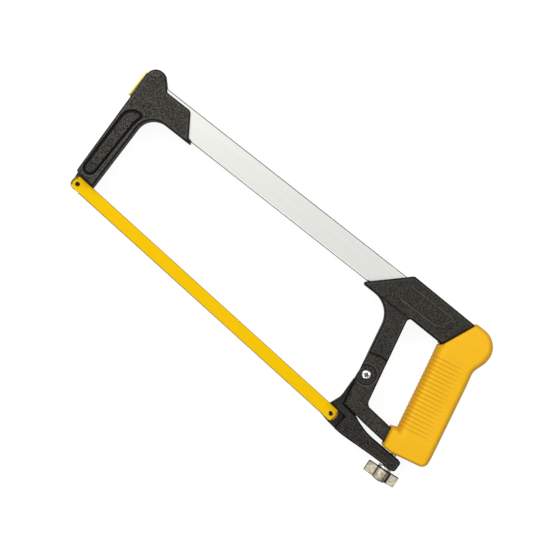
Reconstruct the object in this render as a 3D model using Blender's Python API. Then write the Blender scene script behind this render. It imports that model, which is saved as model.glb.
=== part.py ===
import math

import bmesh
import bpy
from mathutils import Matrix, Vector

# ---------------------------------------------------------------- dimensions
MM = 0.001

# frame tube (rectangular, hollow)
TUBE_Y0, TUBE_Y1 = 46.8, 70.8
TUBE_HALF = 5.5
TUBE_WALL = 1.2
TUBE_CORNER = 1.6
TUBE_X0, TUBE_X1 = -201.4, 143.0
FIT = 0.3

# front casting
FRONT_HALF = 8.5
FRONT_RIM = 0.9
GROOVE_DEPTH = 1.2
SEAT_Z = -0.3

# rear casting
SOCKET_HALF = 9.0
CORE_HALF = 8.2
STRUT_HALF = 7.4
CASTING_RIM = 0.9
PANEL_DEPTH = 0.5

# blade and its pegs
HOLE_PITCH = 300.0
FRONT_HOLE = (-191.9, -43.7)
BLADE_SLOPE = -math.radians(4.0)
BLADE_ABOVE, BLADE_BELOW = 6.5, 5.75
BLADE_END = 6.0
BLADE_END_R = 5.3
BLADE_T = 0.65
BLADE_HOLE = 4.2
PEG_D = 3.4
PEG_OFFSET = 0.3
PEG_TOP = 1.75

# tension lever
PIVOT = (110.4, -18.4)
LEVER_HALF = 6.4
TONGUE_HALF = 4.2
SLOT_HALF = 4.5
BUSH_OD, BUSH_ID = 7.0, 5.6
SCREW_D = 5.0
SCREW_HEAD_D = 8.3
SPOTFACE_R = 8.8
SPOTFACE_DEPTH = 0.8

# tension stud and wing nut, on one tilted axis
STUD_AT = (173.2, -58.5)
STUD_TILT = math.radians(4.8)
STUD_D = 6.0
STUD_UP, STUD_DOWN = -20.0, 22.5
STUD_CLEAR = 0.3
WASHER_D, WASHER_T = 12.8, 1.7
WASHER_AT = 13.5
HUB_AT, HUB_END, HUB_DOME = 15.45, 26.0, 27.4
HUB_D = 13.0
BORE_END = 24.6
WING_TIP = 16.2
WING_T = 2.8
WING_TURN = math.radians(-12.0)

# grip
GRIP_HALF = 14.5
GRIP_ROUND = 8.5
GRIP_POWER = 2.5

ARC = math.radians(20.0)
ROUND_SEGS = 32


# ------------------------------------------------------------------- helpers
def line_cross(p, d, q, e):
    k = d.x * e.y - d.y * e.x
    t = ((q.x - p.x) * e.y - (q.y - p.y) * e.x) / k
    return p + d * t


def inset(outline, amount, weights=None):
    n = len(outline)
    pts = [Vector((p[0], p[1])) for p in outline]
    w = weights or [1.0] * n
    base, dirs = [], []
    for i in range(n):
        d = (pts[(i + 1) % n] - pts[i]).normalized()
        base.append(pts[i] + Vector((-d.y, d.x)) * amount * w[i])
        dirs.append(d)
    out = []
    for i in range(n):
        j = i - 1
        turn = dirs[j].x * dirs[i].y - dirs[j].y * dirs[i].x
        if abs(turn) < 0.12:
            nrm = (Vector((-dirs[j].y, dirs[j].x)) + Vector((-dirs[i].y, dirs[i].x))).normalized()
            v = pts[i] + nrm * amount * 0.5 * (w[j] + w[i])
        else:
            v = line_cross(base[j], dirs[j], base[i], dirs[i])
        r = outline[i][2] if len(outline[i]) > 2 else 0.0
        if r > 0.0:
            step = amount * 0.5 * (w[j] + w[i])
            r = max(r - step, 0.15) if turn > 0 else max(r + step, 0.15)
        out.append((v.x, v.y, r))
    return out


def corner(outline, i):
    p = Vector(outline[i][:2])
    a = (Vector(outline[i - 1][:2]) - p).normalized()
    b = (Vector(outline[(i + 1) % len(outline)][:2]) - p).normalized()
    return p, a, b, math.pi - a.angle(b)


def arc_steps(outline, arc=ARC):
    steps = []
    for i in range(len(outline)):
        turn = corner(outline, i)[3]
        r = outline[i][2] if len(outline[i]) > 2 else 0.0
        steps.append(0 if r <= 0.0 or turn < 0.01 else max(2, math.ceil(turn / arc)))
    return steps


def rounded(outline, arc=ARC, steps=None):
    steps = steps or arc_steps(outline, arc)
    res = []
    for i, k in enumerate(steps):
        p, a, b, turn = corner(outline, i)
        if k == 0:
            res.append(p)
            continue
        r = outline[i][2]
        turn = max(turn, 0.001)
        t = r * math.tan(turn / 2)
        c = p + (a + b).normalized() * (r / math.cos(turn / 2))
        v0 = p + a * t - c
        side = 1.0 if a.x * b.y - a.y * b.x < 0 else -1.0
        for s in range(k + 1):
            f = side * turn * s / k
            res.append(c + Vector((v0.x * math.cos(f) - v0.y * math.sin(f),
                                   v0.x * math.sin(f) + v0.y * math.cos(f))))
    return res


def circle(cx, cy, r, n):
    return [(cx + r * math.cos(2 * math.pi * k / n), cy + r * math.sin(2 * math.pi * k / n)) for k in range(n)]


def to_object(name, bm, collection, material=None):
    bmesh.ops.recalc_face_normals(bm, faces=bm.faces[:])
    for v in bm.verts:
        v.co *= MM
    mesh = bpy.data.meshes.new(name)
    bm.to_mesh(mesh)
    bm.free()
    ob = bpy.data.objects.new(name, mesh)
    collection.objects.link(ob)
    if material:
        mesh.materials.append(material)
    return ob


def add_prism(bm, polygon, z0, z1, rim=0.0, segs=2):
    lower = [bm.verts.new((p[0], p[1], z0)) for p in polygon]
    base = bm.faces.new(lower)
    ext = bmesh.ops.extrude_face_region(bm, geom=[base])
    upper = [g for g in ext["geom"] if isinstance(g, bmesh.types.BMVert)]
    bmesh.ops.translate(bm, verts=upper, vec=(0.0, 0.0, z1 - z0))
    ups, lows = set(upper), set(lower)
    bmesh.ops.recalc_face_normals(bm, faces=bm.faces[:])
    if rim > 0.0:
        edges = [e for e in bm.edges if all(v in ups for v in e.verts) or all(v in lows for v in e.verts)]
        bmesh.ops.bevel(bm, geom=edges, offset=rim, offset_type="OFFSET", segments=segs,
                        profile=0.5, affect="EDGES", clamp_overlap=False)


def plate(name, outline, z0, z1, collection, material=None, rim=0.0, segs=2, arc=ARC):
    bm = bmesh.new()
    add_prism(bm, rounded(outline, arc), z0, z1, rim, segs)
    return to_object(name, bm, collection, material)


def faced(name, outline, half, reach, collection, arc=ARC):
    """Two slabs that take both faces of a casting down to half thickness 'half'."""
    bm = bmesh.new()
    poly = rounded(outline, arc)
    add_prism(bm, poly, half, reach)
    add_prism(bm, poly, -reach, -half)
    return to_object(name, bm, collection)


def block(name, lo, hi, collection, material=None, rim=0.0, segs=2):
    bm = bmesh.new()
    size = [hi[i] - lo[i] for i in range(3)]
    mid = [(hi[i] + lo[i]) / 2 for i in range(3)]
    bmesh.ops.create_cube(bm, size=1.0, matrix=Matrix.Translation(mid) @ Matrix.Diagonal((*size, 1.0)))
    if rim > 0.0:
        bmesh.ops.bevel(bm, geom=bm.edges[:], offset=rim, offset_type="OFFSET", segments=segs,
                        profile=0.5, affect="EDGES", clamp_overlap=False)
    return to_object(name, bm, collection, material)


def turned(name, profile, collection, material=None, segs=ROUND_SEGS, at=(0.0, 0.0)):
    """Solid of revolution about Z from a closed (radius, height) profile."""
    bm = bmesh.new()
    vs = [bm.verts.new((r, 0.0, z)) for r, z in profile]
    es = [bm.edges.new((vs[i], vs[(i + 1) % len(vs)])) for i in range(len(vs))
          if not (profile[i][0] == 0.0 and profile[(i + 1) % len(vs)][0] == 0.0)]
    bmesh.ops.spin(bm, geom=vs + es, cent=(0, 0, 0), axis=(0, 0, 1), angle=2 * math.pi,
                   steps=segs, use_merge=True)
    bmesh.ops.remove_doubles(bm, verts=bm.verts[:], dist=0.0005)
    bmesh.ops.translate(bm, verts=bm.verts[:], vec=(at[0], at[1], 0.0))
    return to_object(name, bm, collection, material)


def rod(name, d, z0, z1, collection, material=None, segs=ROUND_SEGS, at=(0.0, 0.0), nose=0.0):
    r = d / 2
    if nose > 0.0:
        prof = [(0.0, z0), (r - nose, z0), (r, z0 + nose), (r, z1 - nose), (r - nose, z1), (0.0, z1)]
    else:
        prof = [(0.0, z0), (r, z0), (r, z1), (0.0, z1)]
    return turned(name, prof, collection, material, segs, at)


def tube_ring(name, od, bore, z0, z1, collection, material=None, segs=ROUND_SEGS, at=(0.0, 0.0)):
    return turned(name, [(bore / 2, z0), (od / 2, z0), (od / 2, z1), (bore / 2, z1)], collection,
                  material, segs, at)


def boolean(ob, other, how="DIFFERENCE", solver="EXACT"):
    mod = ob.modifiers.new(other.name, "BOOLEAN")
    mod.operation = how
    mod.solver = solver
    mod.object = other
    return mod


def paint(name, colour, rough, metal=0.0):
    mat = bpy.data.materials.new(name)
    mat.use_nodes = True
    b = mat.node_tree.nodes["Principled BSDF"]
    b.inputs["Base Color"].default_value = (*colour, 1.0)
    b.inputs["Roughness"].default_value = rough
    b.inputs["Metallic"].default_value = metal
    return mat


def pivot_empty(name, at, *obs):
    """Empty on a joint axis that carries the pieces moving about it."""
    e = bpy.data.objects.new(name, None)
    PARTS.objects.link(e)
    e.location = Vector(at) * MM
    for ob in obs:
        ob.parent = e
        ob.location = -e.location
    return e


def smooth(ob, angle=35.0):
    me = ob.data
    me.shade_smooth()
    me.set_sharp_from_angle(angle=math.radians(angle))


# ----------------------------------------------------------------- outlines
FRONT_OUTLINE = [
    (-196.6, -48.5, 1.6), (-180.0, -49.2, 2.0), (-179.4, -36.0), (-180.6, 44.4, 17.0),
    (-138.4, 44.4), (-135.6, 44.4, 0.7), (-136.4, 46.6, 0.7), (-139.4, 48.2, 3.0), (-152.7, 67.9, 4.0),
    (-178.5, 67.9, 1.2), (-189.8, 79.6, 4.5), (-203.1, 79.6, 9.5), (-202.7, 69.5), (-199.1, -32.0),
]

GROOVE_OUTER = [
    (-197.2, -31.4, 6.0), (-184.6, -31.4, 6.0), (-183.6, 28.5, 6.0), (-181.2, 39.6, 2.6),
    (-198.5, 40.4, 12.0),
]

GROOVE_ISLAND = [
    (-194.8, -29.2, 3.9), (-186.4, -29.2, 3.9), (-185.8, 29.5, 7.0), (-183.7, 37.4, 1.2),
    (-196.2, 38.0, 10.5),
]

FRONT_SEAT = [(-214.0, -33.2), (-214.0, -60.0), (-168.0, -60.0), (-168.0, -37.6)]

REAR_OUTLINE = [
    (110.9, -50.4, 1.5), (126.6, -52.2), (133.6, -53.2), (157.0, -55.1), (164.0, -55.0, 2.0),
    (170.0, -54.4), (196.6, -48.4, 3.0), (195.6, -38.0), (181.5, 27.0), (178.6, 40.5, 16.0),
    (182.1, 71.8, 14.5), (157.65, 71.8), (158.5, 74.0, 0.8), (90.7, 75.3, 1.6), (57.0, 42.5, 1.9),
    (90.6, 42.5, 22.5),
]

FINGER_HOLE = [
    (108.5, 44.0, 3.6), (127.5, -39.2, 6.5), (166.1, -42.6, 3.0), (147.0, 46.2), (145.8, 44.0),
    (143.9, 42.1), (143.3, 43.6),
]

SOCKET_STEP = [
    (71.0, 41.0), (74.0, 42.8), (112.0, 42.8), (114.0, 41.0), (143.0, 41.0), (146.5, 43.4),
    (147.0, 46.2), (157.65, 71.8), (159.6, 77.5), (212.0, 77.5), (212.0, -70.0), (71.0, -70.0),
]

STRUT_STEP = [
    (88.0, -5.0), (100.6, -0.9, 2.0), (105.2, 0.2, 2.0), (109.8, 2.0, 3.0), (116.8, 2.2), (134.0, 3.0),
    (134.0, -28.0), (166.0, -34.0), (166.0, -62.0), (88.0, -62.0),
]

PANEL = [(93.2, 52.7, 1.0), (131.5, 52.7, 1.0), (140.6, 66.0, 1.0), (93.2, 66.0, 1.0)]

CLEVIS = [
    (92.0, -10.8), (110.4, -10.8, 6.0), (118.6, -13.5, 6.0), (118.9, -22.0), (120.6, -34.0),
    (123.0, -44.0), (125.0, -62.0), (92.0, -62.0),
]

LEVER_BODY = [
    (96.8, -69.0, 2.0), (102.6, -70.3), (110.0, -71.9), (117.9, -72.8), (125.9, -73.1), (133.8, -72.8),
    (145.8, -72.1), (157.7, -71.5), (182.5, -71.0, 2.8), (182.2, -60.2, 2.2), (163.5, -59.5),
    (151.5, -59.1), (147.4, -58.8), (143.4, -58.2), (139.4, -57.3), (135.4, -56.1), (131.3, -54.7),
    (127.2, -52.9), (126.4, -52.65), (110.4, -50.8, 1.4), (109.5, -46.5), (105.9, -29.4), (104.55, -27.5),
    (104.9, -36.0), (105.3, -44.0), (105.1, -48.0, 3.0), (103.4, -52.6, 3.0), (101.5, -57.6), (97.4, -61.0, 2.5),
]

LEVER_TONGUE = [
    (105.0, -60.0), (122.0, -60.0), (121.0, -50.0, 2.0), (119.0, -34.0), (117.0, -22.0), (117.0, -11.8, 6.5),
    (103.8, -11.8, 6.5), (104.0, -22.0), (104.9, -28.0), (105.4, -36.0), (105.8, -44.0), (105.6, -48.0, 3.0),
]

LEVER_SEAT = [
    (88.0, -54.6), (101.1, -56.3), (111.0, -57.6), (118.6, -58.4, 1.6), (117.6, -71.0), (117.4, -80.0), (88.0, -80.0),
]

GRIP_OUTLINE = [
    (143.6, 40.9, 1.0), (160.7, -37.2, 1.2), (155.3, -40.0, 1.0), (159.4, -58.8, 2.6), (169.6, -58.9, 4.0),
    (202.0, -51.6, 3.0), (200.3, -39.0, 25.0), (185.9, 28.0, 12.0), (182.6, 41.0, 12.0), (186.7, 54.0, 12.0),
    (186.6, 76.4, 18.5), (159.8, 76.2, 0.8), (146.3, 43.6, 0.5),
]
GRIP_WEIGHTS = [0.85, 0.5, 0.45, 0.35, 0.45, 0.9, 1.05, 1.05, 1.05, 1.05, 0.75, 0.08, 0.25]

CAVITY = [
    (140.0, 46.2), (147.0, 46.2), (166.1, -42.6, 3.0), (160.5, -42.1), (160.5, -55.05), (164.0, -55.0, 2.0), (170.0, -54.4),
    (196.6, -48.4, 3.0), (195.6, -38.0), (181.5, 27.0), (178.6, 40.5, 16.0), (182.1, 71.8, 14.5),
    (150.0, 71.8),
]

BAR_HOLE = [(148.0, -54.35), (157.0, -55.1), (168.0, -55.1), (168.0, -42.73), (148.0, -40.98)]

WING = [
    (5.4, 16.4), (7.6, 15.3, 1.5), (13.2, 14.7, 3.0), (WING_TIP - 0.3, 15.2, 1.6), (WING_TIP - 0.2, 25.6, 0.6),
    (8.0, 25.9), (5.4, 25.4),
]


# --------------------------------------------------------------------- scene
for _ob in list(bpy.data.objects):
    bpy.data.objects.remove(_ob, do_unlink=True)

PARTS = bpy.data.collections.new("lever_tension_hacksaw")
CUTTERS = bpy.data.collections.new("hacksaw_cutters")
for _c in (PARTS, CUTTERS):
    bpy.context.scene.collection.children.link(_c)

BLACK = (0.018, 0.017, 0.016)
YELLOW = (0.86, 0.42, 0.02)


# ---------------------------------------------------------------- back tube
def tube_section(grow):
    return [(TUBE_Y0 - grow, -TUBE_HALF - grow, max(TUBE_CORNER + grow, 0.5)),
            (TUBE_Y1 + grow, -TUBE_HALF - grow, max(TUBE_CORNER + grow, 0.5)),
            (TUBE_Y1 + grow, TUBE_HALF + grow, max(TUBE_CORNER + grow, 0.5)),
            (TUBE_Y0 - grow, TUBE_HALF + grow, max(TUBE_CORNER + grow, 0.5))]


ALONG_X = Matrix(((0, 0, 1, 0), (1, 0, 0, 0), (0, 1, 0, 0), (0, 0, 0, 1)))


def along_x(name, section, x0, x1, collection, material=None, rim=0.0):
    """Prism whose (y, z) section runs along X."""
    bm = bmesh.new()
    add_prism(bm, rounded(section, math.radians(30)), x0, x1, rim)
    bmesh.ops.transform(bm, matrix=ALONG_X, verts=bm.verts[:])
    return to_object(name, bm, collection, material)


tube = along_x("back_tube", tube_section(0.0), TUBE_X0, TUBE_X1, PARTS,
               paint("tube_silver", (0.74, 0.75, 0.72), 0.34, 0.6))
boolean(tube, along_x("cut_tube_bore", tube_section(-TUBE_WALL), TUBE_X0 - 5, TUBE_X1 + 5, CUTTERS))

# ------------------------------------------------------------ front casting
front = plate("front_casting", FRONT_OUTLINE, -FRONT_HALF, FRONT_HALF, PARTS,
              paint("front_powder_black", BLACK, 0.55), rim=FRONT_RIM)
channel = [(TUBE_Y0 - FIT, -TUBE_HALF - FIT), (TUBE_Y1 + FIT, -TUBE_HALF - FIT),
           (TUBE_Y1 + FIT, TUBE_HALF + FIT), (TUBE_Y0 - FIT, TUBE_HALF + FIT)]
boolean(front, along_x("cut_front_channel", channel, -216.0, -128.0, CUTTERS))
boolean(front, plate("cut_front_seat", FRONT_SEAT, SEAT_Z, 14.0, CUTTERS))
groove = plate("cut_front_groove", GROOVE_OUTER, FRONT_HALF - GROOVE_DEPTH, FRONT_HALF + 3, CUTTERS)
boolean(groove, plate("cut_groove_island", GROOVE_ISLAND, FRONT_HALF - GROOVE_DEPTH - 1, FRONT_HALF + 5, CUTTERS),
        solver="MANIFOLD")
boolean(front, groove, solver="MANIFOLD")

BLADE_DIR = Vector((math.cos(BLADE_SLOPE), math.sin(BLADE_SLOPE)))
front_peg = Vector(FRONT_HOLE) - BLADE_DIR * PEG_OFFSET
rear_peg = Vector(FRONT_HOLE) + BLADE_DIR * (HOLE_PITCH + PEG_OFFSET)
boolean(front, rod("cut_front_peg", PEG_D + 0.6, -12.0, 3.0, CUTTERS, at=front_peg, segs=20))
FRONT_SCREW = (-164.0, 58.0)
SCREW_HOLE_D, SCREW_CSK_D = 3.6, 6.6


def countersink(name, at, face):
    """Hole through the far wall with its cone opening on the face at -face."""
    r0, r1 = SCREW_HOLE_D / 2, SCREW_CSK_D / 2
    return turned(name, [(0.0, -2.5), (r0, -2.5), (r0, -face + (r1 - r0)), (r1, -face), (r1, -face - 3), (0.0, -face - 3)],
                  CUTTERS, segs=20, at=at)


boolean(front, countersink("cut_front_screw", FRONT_SCREW, FRONT_HALF))

rod("front_blade_pin", PEG_D, -FRONT_HALF + 0.2, PEG_TOP, PARTS,
    paint("front_pin_steel", (0.32, 0.30, 0.27), 0.35, 1.0), segs=20, at=front_peg, nose=0.4)

# -------------------------------------------------------------- storage cap
cap = along_x("storage_cap", [(45.9, -6.9, 1.8), (71.0, -6.9, 1.8), (71.0, 6.9, 1.8), (45.9, 6.9, 1.8)],
              -205.6, -203.2, PARTS, paint("cap_yellow", (0.85, 0.70, 0.30), 0.45), rim=0.6)
boolean(cap, along_x("join_cap_plug", tube_section(-TUBE_WALL - FIT), -203.8, -192.0, CUTTERS), "UNION")
boolean(cap, along_x("cut_cap_plug", tube_section(-TUBE_WALL - FIT - 1.5), -201.5, -188.0, CUTTERS))

# ------------------------------------------------------------- rear casting
rear = plate("rear_casting", REAR_OUTLINE, -SOCKET_HALF, SOCKET_HALF, PARTS,
             paint("rear_powder_black", BLACK, 0.55), rim=CASTING_RIM)
boolean(rear, plate("cut_finger_hole", FINGER_HOLE, -SOCKET_HALF - 4, SOCKET_HALF + 4, CUTTERS))
boolean(rear, faced("cut_socket_step", SOCKET_STEP, CORE_HALF, SOCKET_HALF + 4, CUTTERS))
boolean(rear, faced("cut_strut_step", STRUT_STEP, STRUT_HALF, SOCKET_HALF + 6, CUTTERS))
boolean(rear, along_x("cut_rear_socket", channel, 40.0, TUBE_X1 + FIT, CUTTERS))
boolean(rear, plate("cut_clevis", CLEVIS, -SLOT_HALF, SLOT_HALF, CUTTERS))
boolean(rear, plate("cut_panel", PANEL, SOCKET_HALF - PANEL_DEPTH, SOCKET_HALF + 4, CUTTERS), solver="MANIFOLD")
boolean(rear, rod("cut_spotface", 2 * SPOTFACE_R, STRUT_HALF - SPOTFACE_DEPTH, SOCKET_HALF + 5, CUTTERS, at=PIVOT))
boolean(rear, rod("cut_pivot_hole", BUSH_ID, -16.0, 12.0, CUTTERS, at=PIVOT))
REAR_SCREWS = ((84.0, 58.8), (132.0, 58.8))
for _i, _at in enumerate(REAR_SCREWS):
    boolean(rear, countersink("cut_rear_screw_%d" % (_i + 1), _at, SOCKET_HALF))

# fixing screws through the far cheeks into the tube
for _n, _at, _f in (("front_casting_screw", FRONT_SCREW, FRONT_HALF),
                    ("rear_casting_screw_1", REAR_SCREWS[0], SOCKET_HALF),
                    ("rear_casting_screw_2", REAR_SCREWS[1], SOCKET_HALF)):
    _r0, _r1 = 1.5, 2.9
    _s = turned(_n, [(0.0, -3.4), (_r0 - 0.4, -3.4), (_r0, -3.9), (_r0, -_f + (_r1 - _r0) + 0.15), (_r1, -_f + 0.15), (0.0, -_f + 0.15)],
                PARTS, paint(_n + "_zinc", (0.60, 0.59, 0.55), 0.3, 1.0), segs=20, at=_at)
    for _k in range(2):
        _w = (1.8, 0.38) if _k == 0 else (0.38, 1.8)
        boolean(_s, block("cut_%s_%d" % (_n, _k), (_at[0] - _w[0], _at[1] - _w[1], -_f - 2), (_at[0] + _w[0], _at[1] + _w[1], -_f + 1.0), CUTTERS))
    boolean(tube, rod("cut_tube_%s" % _n, SCREW_HOLE_D, -8.0, -2.0, CUTTERS, at=_at, segs=20))

# --------------------------------------------------------------------- grip
def grip_rings():
    phi = [0.0, 30.0, 50.0, 68.0, 90.0]
    half = []
    for a in phi:
        a = math.radians(a)
        z = GRIP_HALF * math.sin(a) ** (2 / GRIP_POWER)
        d = GRIP_ROUND * (1 - max(math.cos(a), 0.0) ** (2 / GRIP_POWER))
        half.append((z, d))
    return [(-z, d) for z, d in reversed(half[1:])] + half


def loft(name, rings, collection, material):
    bm = bmesh.new()
    rows = []
    for z, poly in rings:
        rows.append([bm.verts.new((p[0], p[1], z)) for p in poly])
    n = len(rows[0])
    for a, b in zip(rows, rows[1:]):
        for i in range(n):
            j = (i + 1) % n
            bm.faces.new((a[i], a[j], b[j], b[i]))
    bm.faces.new(rows[0][::-1])
    bm.faces.new(rows[-1])
    return to_object(name, bm, collection, material)


GRIP_STEPS = arc_steps(GRIP_OUTLINE)
grip = loft("grip", [(z, rounded(inset(GRIP_OUTLINE, d, GRIP_WEIGHTS), steps=GRIP_STEPS)) for z, d in grip_rings()], PARTS,
            paint("grip_rubber", YELLOW, 0.5))
boolean(grip, plate("cut_grip_cavity", inset(CAVITY, -FIT), -CORE_HALF - FIT, CORE_HALF + FIT, CUTTERS))
boolean(grip, plate("cut_grip_bar", inset(BAR_HOLE, -FIT), -STRUT_HALF - FIT, STRUT_HALF + FIT, CUTTERS))

# -------------------------------------------------------------- tension lever
lever = plate("tension_lever", LEVER_BODY, -LEVER_HALF, LEVER_HALF, PARTS,
              paint("lever_powder_black", BLACK, 0.55), rim=0.7)
boolean(lever, plate("join_lever_tongue", LEVER_TONGUE, -TONGUE_HALF, TONGUE_HALF, CUTTERS), "UNION")
boolean(lever, plate("cut_lever_seat", LEVER_SEAT, SEAT_Z, 14.0, CUTTERS))
boolean(lever, rod("cut_lever_bore", BUSH_OD + 0.6, -9.0, 9.0, CUTTERS, at=PIVOT))
boolean(lever, rod("cut_rear_peg", PEG_D + 0.6, -12.0, 3.0, CUTTERS, at=rear_peg, segs=20))
SLOT = [(169.7, -3.4, 3.2), (181.0, -3.4, 3.2), (181.0, 3.4, 3.2), (169.7, 3.4, 3.2)]
_bm = bmesh.new()
add_prism(_bm, rounded(SLOT, math.radians(30)), -80.0, -50.0)
bmesh.ops.transform(_bm, matrix=Matrix(((1, 0, 0, 0), (0, 0, 1, 0), (0, 1, 0, 0), (0, 0, 0, 1))), verts=_bm.verts[:])
boolean(lever, to_object("cut_lever_slot", _bm, CUTTERS))

rear_pin = rod("rear_blade_pin", PEG_D, -LEVER_HALF + 0.2, PEG_TOP, PARTS,
               paint("rear_pin_steel", (0.32, 0.30, 0.27), 0.35, 1.0), segs=20, at=rear_peg, nose=0.4)
pivot_empty("lever_axis", (*PIVOT, 0.0), lever, rear_pin)
pivot_empty("cap_axis", (TUBE_X0, (TUBE_Y0 + TUBE_Y1) / 2, 0.0), cap)

# --------------------------------------------------------------------- pivot
SPOT_Z = STRUT_HALF - SPOTFACE_DEPTH
head_z = SPOT_Z + 0.25
r_head = SCREW_HEAD_D / 2
screw = turned("pivot_screw", [
    (0.0, -13.1), (SCREW_D / 2 - 0.5, -13.1), (SCREW_D / 2, -12.6), (SCREW_D / 2, head_z), (r_head, head_z),
    (r_head, head_z + 1.2), (r_head - 0.5, head_z + 1.8), (r_head - 1.6, head_z + 2.3), (0.0, head_z + 2.5)],
    PARTS, paint("pivot_screw_zinc", (0.72, 0.71, 0.68), 0.25, 1.0), at=PIVOT)
for _k in range(2):
    _w = (2.5, 0.5) if _k == 0 else (0.5, 2.5)
    boolean(screw, block("cut_pivot_cross_%d" % _k, (PIVOT[0] - _w[0], PIVOT[1] - _w[1], head_z + 1.0),
                         (PIVOT[0] + _w[0], PIVOT[1] + _w[1], head_z + 6), CUTTERS))

tube_ring("pivot_bush", BUSH_OD, SCREW_D + 0.5, -SLOT_HALF + 0.15, SLOT_HALF - 0.15, PARTS,
          paint("bush_steel", (0.5, 0.49, 0.46), 0.35, 1.0), at=PIVOT)
tube_ring("pivot_washer", 10.4, SCREW_D + 0.5, -STRUT_HALF - 1.25, -STRUT_HALF - 0.25, PARTS,
          paint("pivot_washer_zinc", (0.66, 0.65, 0.62), 0.3, 1.0), at=PIVOT)
hexa = [(PIVOT[0] + 8.0 / math.sqrt(3) * math.cos(math.radians(60 * k)),
         PIVOT[1] + 8.0 / math.sqrt(3) * math.sin(math.radians(60 * k))) for k in range(6)]
pnut = plate("pivot_nut", hexa, -STRUT_HALF - 5.0, -STRUT_HALF - 1.5, PARTS,
             paint("pivot_nut_zinc", (0.66, 0.65, 0.62), 0.3, 1.0), rim=0.35)
boolean(pnut, rod("cut_pivot_nut", SCREW_D + 0.5, -20.0, 0.0, CUTTERS, at=PIVOT))

# ------------------------------------------------- tension stud and wing nut
axis = bpy.data.objects.new("stud_axis", None)
PARTS.objects.link(axis)
_u = Vector((math.sin(STUD_TILT), -math.cos(STUD_TILT), 0.0))
_a = Vector((math.cos(STUD_TILT), math.sin(STUD_TILT), 0.0))
_up = Vector((0.0, 0.0, 1.0))
axis.matrix_world = Matrix((
    (_a.x, _up.x, _u.x, STUD_AT[0] * MM), (_a.y, _up.y, _u.y, STUD_AT[1] * MM), (_a.z, _up.z, _u.z, 0.0), (0, 0, 0, 1)))


def on_stud(ob):
    ob.parent = axis
    return ob


on_stud(rod("tension_stud", STUD_D, STUD_UP, STUD_DOWN, PARTS, paint("stud_zinc", (0.66, 0.65, 0.62), 0.3, 1.0),
            segs=24, nose=0.6))
anchor = on_stud(plate("stud_anchor_nut", circle(0.0, 0.0, 10.0 / math.sqrt(3), 6), -14.4, -9.4, PARTS,
                       paint("anchor_nut_zinc", (0.66, 0.65, 0.62), 0.3, 1.0), rim=0.4))
boolean(anchor, on_stud(rod("cut_anchor", STUD_D + 0.6, -30.0, 5.0, CUTTERS, segs=24)))
pocket = on_stud(block("cut_anchor_pocket", (-6.1, -5.3, -14.8), (6.1, 16.0, -9.0), CUTTERS))
boolean(rear, pocket)
boolean(rear, on_stud(rod("cut_core_stud", STUD_D + 0.8, STUD_UP - 1.5, 12.0, CUTTERS, segs=24)))
boolean(grip, on_stud(rod("cut_grip_stud", STUD_D + 1.0, -8.0, 12.0, CUTTERS, segs=24)))

on_stud(tube_ring("wing_nut_washer", WASHER_D, STUD_D + 2 * STUD_CLEAR, WASHER_AT, WASHER_AT + WASHER_T, PARTS,
                  paint("washer_nickel", (0.62, 0.58, 0.50), 0.3, 1.0), segs=32))

R = HUB_D / 2
nut = on_stud(turned("wing_nut", [
    (0.0, BORE_END), (STUD_D / 2 + STUD_CLEAR, BORE_END), (STUD_D / 2 + STUD_CLEAR, HUB_AT), (R - 0.4, HUB_AT), (R, HUB_AT + 0.4),
    (R, HUB_END - 0.9), (R - 1.0, HUB_END + 0.2), (R - 3.0, HUB_DOME - 0.35), (0.0, HUB_DOME)],
    PARTS, paint("wing_nut_nickel", (0.62, 0.58, 0.50), 0.28, 1.0)))


def wing(name, side):
    bm = bmesh.new()
    add_prism(bm, [(side * p[0], p[1]) for p in rounded(WING, math.radians(30))][::int(side)], -WING_T / 2, WING_T / 2, 0.5, 1)
    bmesh.ops.transform(bm, matrix=Matrix(((1, 0, 0, 0), (0, 0, 1, 0), (0, 1, 0, 0), (0, 0, 0, 1))), verts=bm.verts[:])
    return on_stud(to_object(name, bm, CUTTERS))


for _n, _side in (("join_wing_1", 1.0), ("join_wing_2", -1.0)):
    _w = wing(_n, _side)
    _w.rotation_euler = (0.0, 0.0, WING_TURN)
    boolean(nut, _w, "UNION")

# --------------------------------------------------------------------- blade
BLADE_OUTLINE = [
    (-BLADE_END, -BLADE_BELOW, BLADE_END_R), (HOLE_PITCH + BLADE_END, -BLADE_BELOW, BLADE_END_R),
    (HOLE_PITCH + BLADE_END, BLADE_ABOVE, BLADE_END_R), (-BLADE_END, BLADE_ABOVE, BLADE_END_R)]
blade = plate("blade", BLADE_OUTLINE, 0.0, BLADE_T, PARTS, paint("blade_yellow", (0.90, 0.53, 0.01), 0.4), arc=math.radians(15))
for _k, _x in enumerate((0.0, HOLE_PITCH)):
    _c = rod("cut_blade_hole_%d" % (_k + 1), BLADE_HOLE, -2.0, 3.0, CUTTERS, at=(_x, 0.0), segs=24)
    _c.parent = blade
    boolean(blade, _c)
blade.location = (FRONT_HOLE[0] * MM, FRONT_HOLE[1] * MM, 0.0)
blade.rotation_euler = (0.0, 0.0, BLADE_SLOPE)

# ------------------------------------------------------ placing and finishing
for _ob in CUTTERS.objects:
    _ob.hide_render = True
    _ob.display_type = "WIRE"
for _ob in PARTS.objects:
    if _ob.type == "MESH":
        smooth(_ob)

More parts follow.
